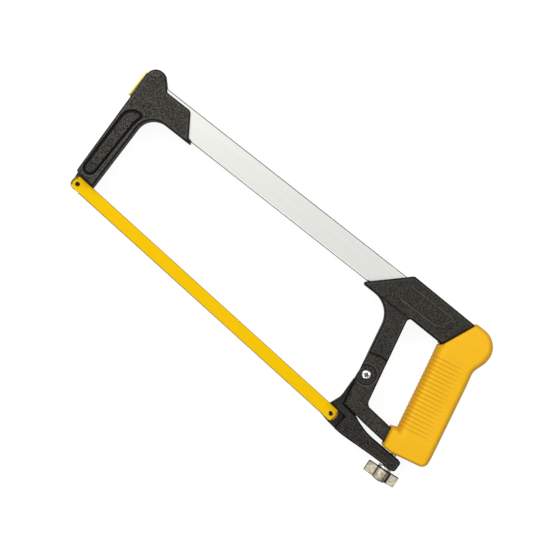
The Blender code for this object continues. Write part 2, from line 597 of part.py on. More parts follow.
bpy.context.view_layer.update()
deps = bpy.context.evaluated_depsgraph_get()
lo, hi = Vector((1e9,) * 3), Vector((-1e9,) * 3)
for _ob in PARTS.objects:
    if _ob.type != "MESH":
        continue
    _ev = _ob.evaluated_get(deps)
    for _v in _ev.data.vertices:
        _p = _ob.matrix_world @ _v.co
        for _i in range(3):
            lo[_i] = min(lo[_i], _p[_i])
            hi[_i] = max(hi[_i], _p[_i])
shift = Vector(((lo.x + hi.x) / 2, (lo.y + hi.y) / 2, lo.z))
for _ob in list(PARTS.objects) + list(CUTTERS.objects):
    if _ob.parent is None:
        _ob.location = _ob.location - shift
bpy.context.view_layer.update()
print("size mm", [round((hi[_i] - lo[_i]) * 1000, 3) for _i in range(3)])
print("shift mm", [round(shift[_i] * 1000, 4) for _i in range(3)])
for _n, _p in (("pivot", (*PIVOT, 0)), ("stud", (*STUD_AT, 0)), ("front hole", (*FRONT_HOLE, 0))):
    print(_n, [round(_p[_i] - shift[_i] * 1000, 4) for _i in range(3)])
print("stud axis", [round(c, 6) for c in _u])
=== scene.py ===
import math

import bmesh
import bpy
import numpy as np
from mathutils import Matrix, Vector


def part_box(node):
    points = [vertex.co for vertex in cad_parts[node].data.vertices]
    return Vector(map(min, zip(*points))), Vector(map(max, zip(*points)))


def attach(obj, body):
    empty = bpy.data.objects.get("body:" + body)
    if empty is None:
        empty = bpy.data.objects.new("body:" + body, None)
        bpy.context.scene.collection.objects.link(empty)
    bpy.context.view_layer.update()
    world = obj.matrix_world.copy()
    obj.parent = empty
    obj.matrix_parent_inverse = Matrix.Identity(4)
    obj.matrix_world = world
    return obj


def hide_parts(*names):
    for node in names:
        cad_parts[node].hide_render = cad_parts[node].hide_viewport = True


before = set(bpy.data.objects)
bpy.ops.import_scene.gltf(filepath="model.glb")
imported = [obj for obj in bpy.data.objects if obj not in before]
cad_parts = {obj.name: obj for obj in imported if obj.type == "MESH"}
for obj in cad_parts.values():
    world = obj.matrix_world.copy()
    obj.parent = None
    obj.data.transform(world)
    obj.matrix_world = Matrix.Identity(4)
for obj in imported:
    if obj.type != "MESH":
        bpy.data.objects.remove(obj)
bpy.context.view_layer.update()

# ------------------------------------------------------------- the shared frame
# Drawing coordinates are millimetres: x along the tube, y up from the blade,
# z across the saw from its middle plane. SHIFT takes them to the row frame.
_lo, _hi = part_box("back_tube")
SHIFT = Vector((_lo.x * 1000 + 201.4, _lo.y * 1000 - 46.8, (_lo.z + _hi.z) * 500))
TO_ROW = Matrix.Scale(0.001, 4) @ Matrix.Translation(SHIFT)

STUD_AT = Vector((173.2, -58.5, 0.0))
STUD_TILT = math.radians(4.8)
_u = Vector((math.sin(STUD_TILT), -math.cos(STUD_TILT), 0.0))
_a = Vector((math.cos(STUD_TILT), math.sin(STUD_TILT), 0.0))
ON_STUD = Matrix(((_a.x, 0.0, _u.x, STUD_AT.x), (_a.y, 0.0, _u.y, STUD_AT.y), (_a.z, 1.0, _u.z, 0.0), (0, 0, 0, 1)))

PIVOT = (110.4, -18.4)
FRONT_HOLE = Vector((-191.9, -43.7))
BLADE_SLOPE = -math.radians(4.0)
BLADE_DIR = Vector((math.cos(BLADE_SLOPE), math.sin(BLADE_SLOPE)))
FRONT_PEG = FRONT_HOLE - BLADE_DIR * 0.3
REAR_PEG = FRONT_HOLE + BLADE_DIR * 300.3
FRONT_SCREW = (-164.0, 58.0)
REAR_SCREWS = ((84.0, 58.8), (132.0, 58.8))

# -------------------------------------------------------------------- outlines
FRONT_OUTLINE = [
    (-196.6, -48.5, 1.6), (-180.0, -49.2, 2.0), (-179.4, -36.0), (-180.6, 44.4, 17.0),
    (-138.4, 44.4), (-135.6, 44.4, 0.7), (-136.4, 46.6, 0.7), (-139.4, 48.2, 3.0), (-152.7, 67.9, 4.0),
    (-178.5, 67.9, 1.2), (-189.8, 79.6, 4.5), (-203.1, 79.6, 9.5), (-202.7, 69.5), (-199.1, -32.0),
]
GROOVE_OUTER = [
    (-197.2, -30.4, 6.0), (-190.9, -32.0, 3.0), (-184.6, -30.4, 6.0), (-183.6, 28.5, 6.0), (-181.2, 39.6, 2.6),
    (-198.5, 40.4, 12.0),
]
GROOVE_ISLAND = [
    (-194.8, -28.2, 3.6), (-190.6, -29.6, 2.4), (-186.4, -28.2, 3.6), (-185.8, 29.5, 7.0), (-183.7, 37.4, 1.2),
    (-196.2, 38.0, 10.5),
]
FRONT_SEAT = [(-214.0, -33.2), (-214.0, -60.0), (-168.0, -60.0), (-168.0, -37.6)]

REAR_OUTLINE = [
    (110.9, -50.4, 1.5), (126.6, -52.2), (133.6, -53.2), (157.0, -55.1), (164.0, -55.0, 2.0),
    (170.0, -54.4), (196.6, -48.4, 3.0), (195.6, -38.0), (181.5, 27.0), (178.6, 40.5, 16.0),
    (182.1, 71.8, 14.5), (157.65, 71.8), (158.5, 74.0, 0.8), (90.7, 75.3, 1.6), (57.0, 42.5, 1.9),
    (90.6, 42.5, 22.5),
]
FINGER_HOLE = [
    (108.5, 44.0, 3.6), (127.5, -39.2, 6.5), (166.1, -42.6, 3.0), (147.0, 46.2), (145.8, 44.0),
    (143.9, 42.1), (143.3, 43.6),
]
SOCKET_STEP = [
    (71.0, 41.0), (74.0, 42.8), (112.0, 42.8), (114.0, 41.0), (143.0, 41.0), (146.5, 43.4),
    (147.0, 46.2), (157.65, 71.8), (159.6, 77.5), (212.0, 77.5), (212.0, -70.0), (71.0, -70.0),
]
STRUT_STEP = [
    (88.0, -5.0), (100.6, -0.9, 2.0), (105.2, 0.2, 2.0), (109.8, 2.0, 3.0), (116.8, 2.2), (134.0, 3.0),
    (134.0, -28.0), (166.0, -34.0), (166.0, -62.0), (88.0, -62.0),
]
PANEL = [(93.2, 52.7, 1.0), (131.5, 52.7, 1.0), (140.6, 66.0, 1.0), (93.2, 66.0, 1.0)]
CLEVIS = [
    (92.0, -10.8), (110.4, -10.8, 6.0), (118.6, -13.5, 6.0), (118.9, -22.0), (120.6, -34.0),
    (123.0, -44.0), (125.0, -62.0), (92.0, -62.0),
]
LEVER_BODY = [
    (96.8, -69.0, 2.0), (102.6, -70.3), (110.0, -71.9), (117.9, -72.8), (125.9, -73.1), (133.8, -72.8),
    (145.8, -72.1), (157.7, -71.5), (182.5, -71.0, 2.8), (182.2, -60.2, 2.2), (163.5, -59.5),
    (151.5, -59.1), (147.4, -58.8), (143.4, -58.2), (139.4, -57.3), (135.4, -56.1), (131.3, -54.7),
    (127.2, -52.9), (126.4, -52.65), (110.4, -50.8, 1.4), (109.5, -46.5), (105.9, -29.4), (104.55, -27.5),
    (104.9, -36.0), (105.3, -44.0), (105.1, -48.0, 3.0), (103.4, -52.6, 3.0), (101.5, -57.6), (97.4, -61.0, 2.5),
]
LEVER_TONGUE = [
    (105.0, -60.0), (126.3, -60.0), (126.3, -52.4, 0.2), (122.0, -51.9, 0.2), (121.3, -50.5), (120.6, -45.0), (119.0, -34.0), (117.0, -22.0), (117.0, -11.8, 6.5),
    (103.8, -11.8, 6.5), (104.0, -22.0), (104.9, -28.0), (105.4, -36.0), (105.8, -44.0), (105.6, -48.0, 3.0),
]
LEVER_SEAT = [
    (88.0, -54.6), (101.1, -56.3), (111.0, -57.6), (118.6, -58.4, 1.6), (117.6, -71.0), (117.4, -80.0), (88.0, -80.0),
]
GRIP_OUTLINE = [
    (143.6, 40.9, 1.0), (160.7, -37.2, 1.2), (155.3, -40.0, 1.0), (159.4, -58.8, 2.6), (169.6, -58.9, 4.0),
    (202.0, -51.6, 3.0), (200.3, -39.0, 25.0), (185.9, 28.0, 12.0), (182.6, 41.0, 12.0), (186.7, 54.0, 12.0),
    (186.6, 76.4, 18.5), (159.8, 76.2, 0.8), (146.3, 43.6, 0.5),
]
# the grip's smooth head and foot stand full height beside the neck's broad rounding
GRIP_NECK = [
    (143.6, 40.9, 1.0), (165.43, -58.8, 1.5), (169.6, -58.9, 4.0), (202.0, -51.6, 7.0), (200.3, -39.0, 25.0),
    (185.9, 28.0, 12.0), (182.6, 41.0, 12.0), (186.7, 54.0, 12.0), (186.6, 76.4, 18.5), (159.8, 76.2, 0.8),
    (146.3, 43.6, 0.5),
]
NECK_WEIGHTS = [1.15, 0.45, 0.45, 0.8, 0.85, 0.85, 0.85, 0.95, 0.75, 0.08, 0.25]
GRIP_HEAD = [
    (143.6, 40.9, 1.0), (150.5, 41.4), (172.0, 46.0), (182.0, 50.0), (186.7, 58.0, 8.0), (186.6, 76.4, 18.5),
    (159.8, 76.2, 0.8), (146.3, 43.6, 0.5),
]
HEAD_WEIGHTS = [0.4, 0.35, 0.5, 0.9, 0.95, 0.75, 0.08, 0.25]
GRIP_FOOT = [
    (155.3, -40.0, 1.0), (159.4, -58.8, 2.6), (169.6, -58.9, 4.0), (202.0, -51.6, 7.0), (200.6, -41.0),
    (186.0, -41.5), (161.0, -37.9, 1.0),
]
FOOT_WEIGHTS = [0.40, 0.35, 0.40, 0.8, 1.0, 0.42, 0.42]
CAVITY = [
    (140.0, 46.2), (147.0, 46.2), (166.1, -42.6, 3.0), (160.5, -42.1), (160.5, -55.05), (164.0, -55.0, 2.0),
    (170.0, -54.4), (196.6, -48.4, 3.0), (195.6, -38.0), (181.5, 27.0), (178.6, 40.5, 16.0), (182.1, 71.8, 14.5),
    (150.0, 71.8),
]
BAR_HOLE = [(148.0, -54.35), (157.0, -55.1), (168.0, -55.1), (168.0, -42.73), (148.0, -40.98)]
WING = [
    (3.0, 17.2), (7.6, 15.35, 1.5), (13.2, 14.75, 3.0), (15.9, 15.2, 1.8), (16.0, 25.6, 1.0),
    (8.0, 25.9), (3.0, 25.0),
]


def rounded(outline, arc=math.radians(7.0)):
    """The outline with each corner that has a radius turned into an arc, and for every point the index of its edge."""
    n = len(outline)
    pts, owner = [], []
    for i in range(n):
        p = Vector(outline[i][:2])
        a = (Vector(outline[i - 1][:2]) - p).normalized()
        b = (Vector(outline[(i + 1) % n][:2]) - p).normalized()
        turn = math.pi - a.angle(b)
        r = outline[i][2] if len(outline[i]) > 2 else 0.0
        if r <= 0.0 or turn < 0.01:
            pts.append(p)
            owner.append(i)
            continue
        k = max(3, math.ceil(turn / arc))
        t = r * math.tan(turn / 2)
        c = p + (a + b).normalized() * (r / math.cos(turn / 2))
        v0 = p + a * t - c
        side = 1.0 if a.x * b.y - a.y * b.x < 0 else -1.0
        for s in range(k + 1):
            f = side * turn * s / k
            pts.append(c + Vector((v0.x * math.cos(f) - v0.y * math.sin(f), v0.x * math.sin(f) + v0.y * math.cos(f))))
            owner.append(i - 1 + s / k if s < k else i)
    return pts, owner


# ----------------------------------------------------- solids as distance fields
class Field:
    """A grid over a box in millimetres. Its arrays hold the distance to a solid's surface, negative inside."""

    def __init__(self, lo, hi, step):
        self.step = step
        self.lo = np.array(lo, np.float32) - 2 * step
        n = [int(math.ceil((hi[i] + 2 * step - self.lo[i]) / step)) + 1 for i in range(3)]
        ax = [self.lo[i] + step * np.arange(n[i], dtype=np.float32) for i in range(3)]
        self.x2, self.y2 = np.meshgrid(ax[0], ax[1], indexing="ij")
        self.x, self.y = self.x2[:, :, None], self.y2[:, :, None]
        self.z = ax[2][None, None, :]

    def plan(self, outline, weights=None):
        """Distance to a closed outline in the drawing plane, each edge's distance divided by its weight."""
        pts, owner = rounded(outline)
        x, y = self.x2, self.y2
        best = np.full(x.shape, 1e9, np.float32)
        inside = np.zeros(x.shape, bool)
        n = len(pts)
        m = len(outline)
        for i in range(n):
            p, q = pts[i], pts[(i + 1) % n]
            ex, ey = q.x - p.x, q.y - p.y
            ll = ex * ex + ey * ey
            if ll < 1e-12:
                continue
            dx, dy = x - p.x, y - p.y
            t = np.clip((dx * ex + dy * ey) / ll, 0.0, 1.0)
            d = np.hypot(dx - t * ex, dy - t * ey)
            if weights:
                o = owner[i]
                i0 = int(math.floor(o))
                f = o - i0
                d = d / (weights[i0 % m] * (1 - f) + weights[(i0 + 1) % m] * f)
            best = np.minimum(best, d)
            if p.y != q.y:
                hit = ((p.y > y) != (q.y > y)) & (x < p.x + (y - p.y) * ex / (q.y - p.y))
                inside ^= hit
        return np.where(inside, -best, best).astype(np.float32)

    def circle(self, at, r):
        return (np.hypot(self.x2 - at[0], self.y2 - at[1]) - r).astype(np.float32)

    def mesh(self, f):
        """Surface nets: one vertex in each cell that the surface crosses, one quad for each grid edge that it crosses."""
        s = f < 0
        total = np.zeros([k - 1 for k in f.shape], np.uint8)
        nx, ny, nz = total.shape
        for a in (0, 1):
            for b in (0, 1):
                for c in (0, 1):
                    total += s[a:a + nx, b:b + ny, c:c + nz]
        active = (total > 0) & (total < 8)
        index = np.full(total.shape, -1, np.int32)
        ijk = np.argwhere(active)
        index[active] = np.arange(len(ijk), dtype=np.int32)
        acc = np.zeros((len(ijk), 3))
        cnt = np.zeros(len(ijk))
        corners = [(a, b, c) for a in (0, 1) for b in (0, 1) for c in (0, 1)]
        value = {c: f[ijk[:, 0] + c[0], ijk[:, 1] + c[1], ijk[:, 2] + c[2]].astype(float) for c in corners}
        for c in corners:
            for axis in range(3):
                if c[axis]:
                    continue
                e = list(c)
                e[axis] = 1
                va, vb = value[c], value[tuple(e)]
                m = (va < 0) != (vb < 0)
                t = np.where(m, va / np.where(m, va - vb, 1.0), 0.0)
                p = np.tile(np.array(c, float), (len(ijk), 1))
                p[:, axis] += t
                acc[m] += p[m]
                cnt[m] += 1
        pos = self.lo + (ijk + acc / cnt[:, None]) * self.step
        quads = []
        for axis in range(3):
            u, v = (axis + 1) % 3, (axis + 2) % 3
            first = [slice(None)] * 3
            second = [slice(None)] * 3
            first[axis], second[axis] = slice(0, -1), slice(1, None)
            sa, sb = s[tuple(first)], s[tuple(second)]
            loc = np.argwhere(sa != sb)
            loc = loc[(loc[:, u] > 0) & (loc[:, v] > 0) & (loc[:, u] < f.shape[u] - 1) & (loc[:, v] < f.shape[v] - 1)]
            out = sa[loc[:, 0], loc[:, 1], loc[:, 2]]
            four = []
            for du, dv in ((-1, -1), (0, -1), (0, 0), (-1, 0)):
                k = loc.copy()
                k[:, u] += du
                k[:, v] += dv
                four.append(index[k[:, 0], k[:, 1], k[:, 2]])
            q = np.stack(four, 1)
            q[~out] = q[~out][:, ::-1]
            quads.append(q)
        quads = np.concatenate(quads)
        return pos, quads


def plan_at(f, plan, x, y):
    """Values of a plan at points in the drawing plane, read between its grid's points."""
    i = np.clip((x - f.lo[0]) / f.step, 0, plan.shape[0] - 1.001)
    j = np.clip((y - f.lo[1]) / f.step, 0, plan.shape[1] - 1.001)
    i0, j0 = i.astype(int), j.astype(int)
    u, v = i - i0, j - j0
    return (plan[i0, j0] * (1 - u) * (1 - v) + plan[i0 + 1, j0] * u * (1 - v)
            + plan[i0, j0 + 1] * (1 - u) * v + plan[i0 + 1, j0 + 1] * u * v)


def slab(plan, z, low, high, r=0.0):
    """Prism between two heights with its rims rounded by r. low and high may vary over the plan."""
    q1 = plan[:, :, None] + r
    q2 = np.maximum(low - z, z - high) + r
    return (np.minimum(np.maximum(q1, q2), 0) + np.hypot(np.maximum(q1, 0), np.maximum(q2, 0)) - r).astype(np.float32)


def join(a, b, k=0.0):
    if k <= 0:
        return np.minimum(a, b)
    h = np.maximum(k - np.abs(a - b), 0) / k
    return np.minimum(a, b) - h * h * k / 4


def cut(a, b, k=0.0):
    """Takes b out of a, with the edge between them rounded over about k."""
    return -join(-a, b, k)


def ramp(d, width):
    t = np.clip(d / width + 0.5, 0, 1)
    return t * t * (3 - 2 * t)


def box3(f, lo, hi, r=0.0):
    d = []
    for c, a, b in ((f.x, lo[0], hi[0]), (f.y, lo[1], hi[1]), (f.z, lo[2], hi[2])):
        d.append(np.maximum(a - c, c - b) + r)
    inner = np.minimum(np.maximum(np.maximum(d[0], d[1]), d[2]), 0)
    outer = np.sqrt(np.maximum(d[0], 0) ** 2 + np.maximum(d[1], 0) ** 2 + np.maximum(d[2], 0) ** 2)
    return (inner + outer - r).astype(np.float32)


# ------------------------------------------------------------------- materials
def material(name):
    m = bpy.data.materials.new(name)
    m.use_nodes = True
    nt = m.node_tree
    nt.nodes.clear()
    out = nt.nodes.new("ShaderNodeOutputMaterial")
    b = nt.nodes.new("ShaderNodeBsdfPrincipled")
    nt.links.new(b.outputs["BSDF"], out.inputs["Surface"])
    return m, nt, b


def node(nt, kind, **kw):
    n = nt.nodes.new(kind)
    for k, v in kw.items():
        if k in n.inputs.keys():
            n.inputs[k].default_value = v
        else:
            setattr(n, k, v)
    return n


def place(nt, scale=(1.0, 1.0, 1.0), turn=0.0):
    """Object coordinates in millimetres, stretched and turned about Z."""
    tc = nt.nodes.new("ShaderNodeTexCoord")
    mp = nt.nodes.new("ShaderNodeMapping")
    mp.inputs["Scale"].default_value = [1000.0 * s for s in scale]
    mp.inputs["Rotation"].default_value = (0.0, 0.0, turn)
    nt.links.new(tc.outputs["Object"], mp.inputs["Vector"])
    return mp.outputs["Vector"]


def noise(nt, vec, scale, detail=3.0, rough=0.55, distortion=0.0):
    n = node(nt, "ShaderNodeTexNoise", Scale=scale, Detail=detail, Roughness=rough, Distortion=distortion)
    nt.links.new(vec, n.inputs["Vector"])
    return n.outputs["Fac"]


def voronoi(nt, vec, scale, feature="F1", smooth=0.6):
    n = nt.nodes.new("ShaderNodeTexVoronoi")
    n.feature = feature
    n.inputs["Scale"].default_value = scale
    if feature == "SMOOTH_F1":
        n.inputs["Smoothness"].default_value = smooth
    nt.links.new(vec, n.inputs["Vector"])
    return n.outputs["Distance"]


def shades(nt, fac, stops):
    r = nt.nodes.new("ShaderNodeValToRGB")
    e = r.color_ramp.elements
    while len(e) < len(stops):
        e.new(0.5)
    for k, (at, colour) in enumerate(stops):
        e[k].position = at
        e[k].color = (*colour, 1.0) if len(colour) == 3 else colour
    nt.links.new(fac, r.inputs["Fac"])
    return r.outputs["Color"]


def spread(nt, fac, lo, hi, out_lo, out_hi):
    n = nt.nodes.new("ShaderNodeMapRange")
    for k, v in (("From Min", lo), ("From Max", hi), ("To Min", out_lo), ("To Max", out_hi)):
        n.inputs[k].default_value = v
    nt.links.new(fac, n.inputs["Value"])
    return n.outputs["Result"]


def mix(nt, fac, a, b, blend="MIX"):
    n = nt.nodes.new("ShaderNodeMix")
    n.data_type = "RGBA"
    n.blend_type = blend
    for k, v in ((0, fac), (6, a), (7, b)):
        if isinstance(v, (int, float)):
            n.inputs[k].default_value = v
        elif isinstance(v, tuple):
            n.inputs[k].default_value = (*v, 1.0) if len(v) == 3 else v
        else:
            nt.links.new(v, n.inputs[k])
    return n.outputs[2]


def maths(nt, op, a, b=None):
    n = nt.nodes.new("ShaderNodeMath")
    n.operation = op
    for k, v in ((0, a), (1, b)):
        if v is None:
            continue
        if isinstance(v, (int, float)):
            n.inputs[k].default_value = v
        else:
            nt.links.new(v, n.inputs[k])
    return n.outputs[0]


def bump(nt, b, height, distance, strength=1.0, under=None):
    n = nt.nodes.new("ShaderNodeBump")
    n.inputs["Strength"].default_value = strength
    n.inputs["Distance"].default_value = distance
    nt.links.new(height, n.inputs["Height"])
    if under is not None:
        nt.links.new(under, n.inputs["Normal"])
    nt.links.new(n.outputs["Normal"], b.inputs["Normal"])
    return n.outputs["Normal"]


def attribute(nt, name):
    n = nt.nodes.new("ShaderNodeAttribute")
    n.attribute_name = name
    return n.outputs["Fac"]


def powder_black(name, tone=1.0, grit=1.0, span=0.31, lump=0.8, centre=0.52):
    """Textured black powder coat: fine lumps, each crown a little lighter, painted shade near black in the creases and
    over the rims, and a painted highlight along lips and crests.
    """
    m, nt, b = material(name)
    v = place(nt)
    lumps = voronoi(nt, v, 0.92 * grit, "SMOOTH_F1", 0.4)
    fine = noise(nt, v, 1.7 * grit, 3.0, 0.6)
    wide = noise(nt, v, 0.05, 2.0, 0.5)
    h = maths(nt, "SUBTRACT", fine, maths(nt, "MULTIPLY", lumps, lump))
    shift = (0.8 - lump) * 0.45
    grain = spread(nt, h, shift - 0.36, shift + 0.36, 0.0, 1.0)
    deep, mid, crown = ((0.0075, 0.0070, 0.0053), (0.0165, 0.0154, 0.0120), (0.084, 0.079, 0.062))
    colour = shades(nt, grain, [(centre - span, tuple(c * tone for c in deep)), (centre, tuple(c * tone for c in mid)),
                                (centre + span * 1.15, tuple(c * tone for c in crown))])
    colour = mix(nt, spread(nt, wide, 0.3, 0.7, 0.0, 0.25), colour, tuple(c * tone for c in (0.0165, 0.0130, 0.0120)))
    # painted highlight along lips, crests and step edges
    colour = mix(nt, maths(nt, "MULTIPLY", attribute(nt, "painted_edge_shading"), 0.8), colour, (0.098, 0.094, 0.081))
    # painted shade, near black, in creases, grooves, steps and over the rounded rims
    colour = mix(nt, attribute(nt, "painted_shade"), colour, (0.0012, 0.0011, 0.0010))
    nt.links.new(colour, b.inputs["Base Color"])
    nt.links.new(spread(nt, grain, 0.1, 0.9, 0.68, 0.48), b.inputs["Roughness"])
    b.inputs["Specular IOR Level"].default_value = 0.14
    bump(nt, b, grain, 0.00022, 1.0)
    return m


def plated(name, colour, rough, warm=0.0, bump_mm=0.012, mottle=0.80, painted_shade_colour=(0.030, 0.022, 0.015)):
    """Plated steel: handling marks in the gloss, a soft lumpy surface, colour drift, and painted shade down in its
    creases and recesses.
    """
    m, nt, b = material(name)
    v = place(nt)
    soft = noise(nt, v, 0.35, 3.0, 0.5)
    fine = noise(nt, v, 3.2, 3.0, 0.6)
    dark = tuple(c * mottle for c in colour)
    tint = mix(nt, spread(nt, soft, 0.38, 0.64, 0.0, 1.0), colour, (dark[0], dark[1] * (0.985 - warm), dark[2] * (0.95 - 2.2 * warm)))
    painted_shade = attribute(nt, "painted_shade")
    # painted shade in recesses and creases, with a duller gloss there
    tint = mix(nt, painted_shade, tint, painted_shade_colour)
    nt.links.new(tint, b.inputs["Base Color"])
    b.inputs["Metallic"].default_value = 1.0
    gloss = spread(nt, fine, 0.3, 0.7, rough * 0.8, rough * 1.35)
    nt.links.new(maths(nt, "ADD", gloss, maths(nt, "MULTIPLY", painted_shade, 0.4)), b.inputs["Roughness"])
    bump(nt, b, maths(nt, "ADD", soft, maths(nt, "MULTIPLY", fine, 0.35)), bump_mm * 0.001, 0.8)
    return m


def tube_coat():
    """Pale silver lacquer over drawn steel: long faint draw lines, slight wave, small nicks."""
    m, nt, b = material("tube_silver_satin")
    long = place(nt, (0.006, 1.0, 1.0))
    v = place(nt)
    lines = noise(nt, long, 2.6, 4.0, 0.62)
    wave = noise(nt, v, 0.018, 2.0, 0.5)
    fine = noise(nt, v, 2.2, 3.0, 0.6)
    colour = shades(nt, lines, [(0.25, (0.66, 0.67, 0.63)), (0.5, (0.735, 0.74, 0.70)), (0.8, (0.775, 0.78, 0.74))])
    colour = mix(nt, spread(nt, wave, 0.35, 0.65, 0.0, 0.45), colour, (0.73, 0.73, 0.70))
    # painted shade over the outer half of the rounded corners
    colour = mix(nt, attribute(nt, "corner"), colour, (0.055, 0.055, 0.050))
    nt.links.new(colour, b.inputs["Base Color"])
    b.inputs["Metallic"].default_value = 0.85
    nt.links.new(spread(nt, maths(nt, "ADD", maths(nt, "MULTIPLY", lines, 0.6), maths(nt, "MULTIPLY", fine, 0.4)), 0.3, 0.7, 0.24, 0.34), b.inputs["Roughness"])
    b.inputs["Specular IOR Level"].default_value = 0.5
    b.inputs["Coat Weight"].default_value = 0.15
    b.inputs["Coat Roughness"].default_value = 0.2
    bump(nt, b, maths(nt, "ADD", lines, maths(nt, "MULTIPLY", fine, 0.25)), 0.000006, 0.7)
    return m


def grip_rubber():
    """Amber moulded rubber: fine matt grain, with painted shade in a deeper orange down in the grooves and over the
    rims.
    """
    m, nt, b = material("grip_amber_rubber")
    v = place(nt)
    fine = noise(nt, v, 2.6, 4.0, 0.62)
    soft = noise(nt, v, 0.055, 2.0, 0.5)
    pits = voronoi(nt, v, 1.1, "SMOOTH_F1", 0.5)
    painted_groove_shade = attribute(nt, "painted_groove_shade")
    rim_shade = attribute(nt, "rim_shade")
    base = shades(nt, spread(nt, soft, 0.3, 0.7, 0.0, 1.0), [(0.0, (0.672, 0.358, 0.0045)), (1.0, (0.702, 0.378, 0.007))])
    # painted shade over the rounded sides and down between the ribs
    base = mix(nt, maths(nt, "MULTIPLY", rim_shade, 0.9), base, (0.60, 0.285, 0.002))
    base = mix(nt, maths(nt, "MULTIPLY", painted_groove_shade, 0.6), base, (0.44, 0.185, 0.002))
    base = mix(nt, spread(nt, fine, 0.35, 0.75, 0.0, 0.18), base, (0.78, 0.44, 0.035))
    nt.links.new(base, b.inputs["Base Color"])
    nt.links.new(spread(nt, fine, 0.3, 0.7, 0.40, 0.56), b.inputs["Roughness"])
    b.inputs["Specular IOR Level"].default_value = 0.12
    h = maths(nt, "SUBTRACT", fine, maths(nt, "MULTIPLY", pits, 0.4))
    bump(nt, b, h, 0.00006, 0.8)
    return m


def blade_paint():
    """Yellow enamel on spring steel, with painted shade as a dark ragged line along its edges."""
    m, nt, b = material("blade_yellow_enamel")
    v = place(nt)
    long = place(nt, (0.05, 1.0, 1.0), -BLADE_SLOPE)
    fine = noise(nt, v, 1.5, 4.0, 0.6)
    streak = noise(nt, long, 1.2, 3.0, 0.55)
    edge = attribute(nt, "edge")
    base = shades(nt, spread(nt, streak, 0.3, 0.7, 0.0, 1.0), [(0.0, (0.665, 0.404, 0.0002)), (1.0, (0.700, 0.426, 0.0004))])
    ragged = maths(nt, "ADD", edge, maths(nt, "MULTIPLY", maths(nt, "SUBTRACT", fine, 0.5), 0.55))
    # painted shade along the edges, ragged by noise
    painted_edge_shading = spread(nt, ragged, 0.38, 0.66, 0.0, 1.0)
    base = mix(nt, painted_edge_shading, base, (0.17, 0.11, 0.016))
    nt.links.new(base, b.inputs["Base Color"])
    nt.links.new(spread(nt, painted_edge_shading, 0.0, 1.0, 0.33, 0.45), b.inputs["Roughness"])
    b.inputs["Specular IOR Level"].default_value = 0.04
    bump(nt, b, maths(nt, "ADD", maths(nt, "MULTIPLY", fine, 0.6), streak), 0.000018, 0.7)
    return m


def plastic_cap():
    """Pale yellow moulded plastic with a fine spark-eroded grain."""
    m, nt, b = material("cap_pale_yellow")
    v = place(nt)
    fine = noise(nt, v, 2.4, 4.0, 0.6)
    soft = noise(nt, v, 0.12, 2.0, 0.5)
    base = shades(nt, soft, [(0.3, (0.84, 0.66, 0.27)), (0.7, (0.87, 0.71, 0.33))])
    base = mix(nt, spread(nt, fine, 0.4, 0.7, 0.0, 0.25), base, (0.93, 0.76, 0.36))
    nt.links.new(base, b.inputs["Base Color"])
    nt.links.new(spread(nt, fine, 0.3, 0.7, 0.38, 0.52), b.inputs["Roughness"])
    bump(nt, b, fine, 0.00004, 0.7)
    return m


MAT = {
    "front": powder_black("front_powder_black", 1.08, 0.95, 0.18, 0.45, 0.66),
    "rear": powder_black("rear_powder_black", 0.80, 1.2, 0.17, 0.45, 0.66),
    "lever": powder_black("lever_powder_black", 0.60, 1.2, 0.16, 0.45, 0.66),
    "tube": tube_coat(),
    "grip": grip_rubber(),
    "blade": blade_paint(),
    "cap": plastic_cap(),
    "zinc": plated("zinc_plate", (0.90, 0.90, 0.87), 0.22),
    "nickel": plated("nickel_plate", (0.83, 0.755, 0.625), 0.17, warm=0.08, bump_mm=0.06, mottle=0.58, painted_shade_colour=(0.045, 0.028, 0.014)),
    "oiled": plated("oiled_dark_steel", (0.030, 0.016, 0.010), 0.5, warm=0.05),
    "thread": plated("thread_zinc", (0.97, 0.97, 0.95), 0.62),
}


# ------------------------------------------------------------------- mesh helpers
def to_object(name, pos, faces, local=None):
    me = bpy.data.meshes.new(name)
    me.from_pydata([tuple(p) for p in pos], [], [tuple(int(k) for k in f) for f in faces])
    if local is not None:
        me.transform(local)
    me.transform(TO_ROW)
    me.validate()
    ob = bpy.data.objects.new(name, me)
    bpy.context.scene.collection.objects.link(ob)
    return ob


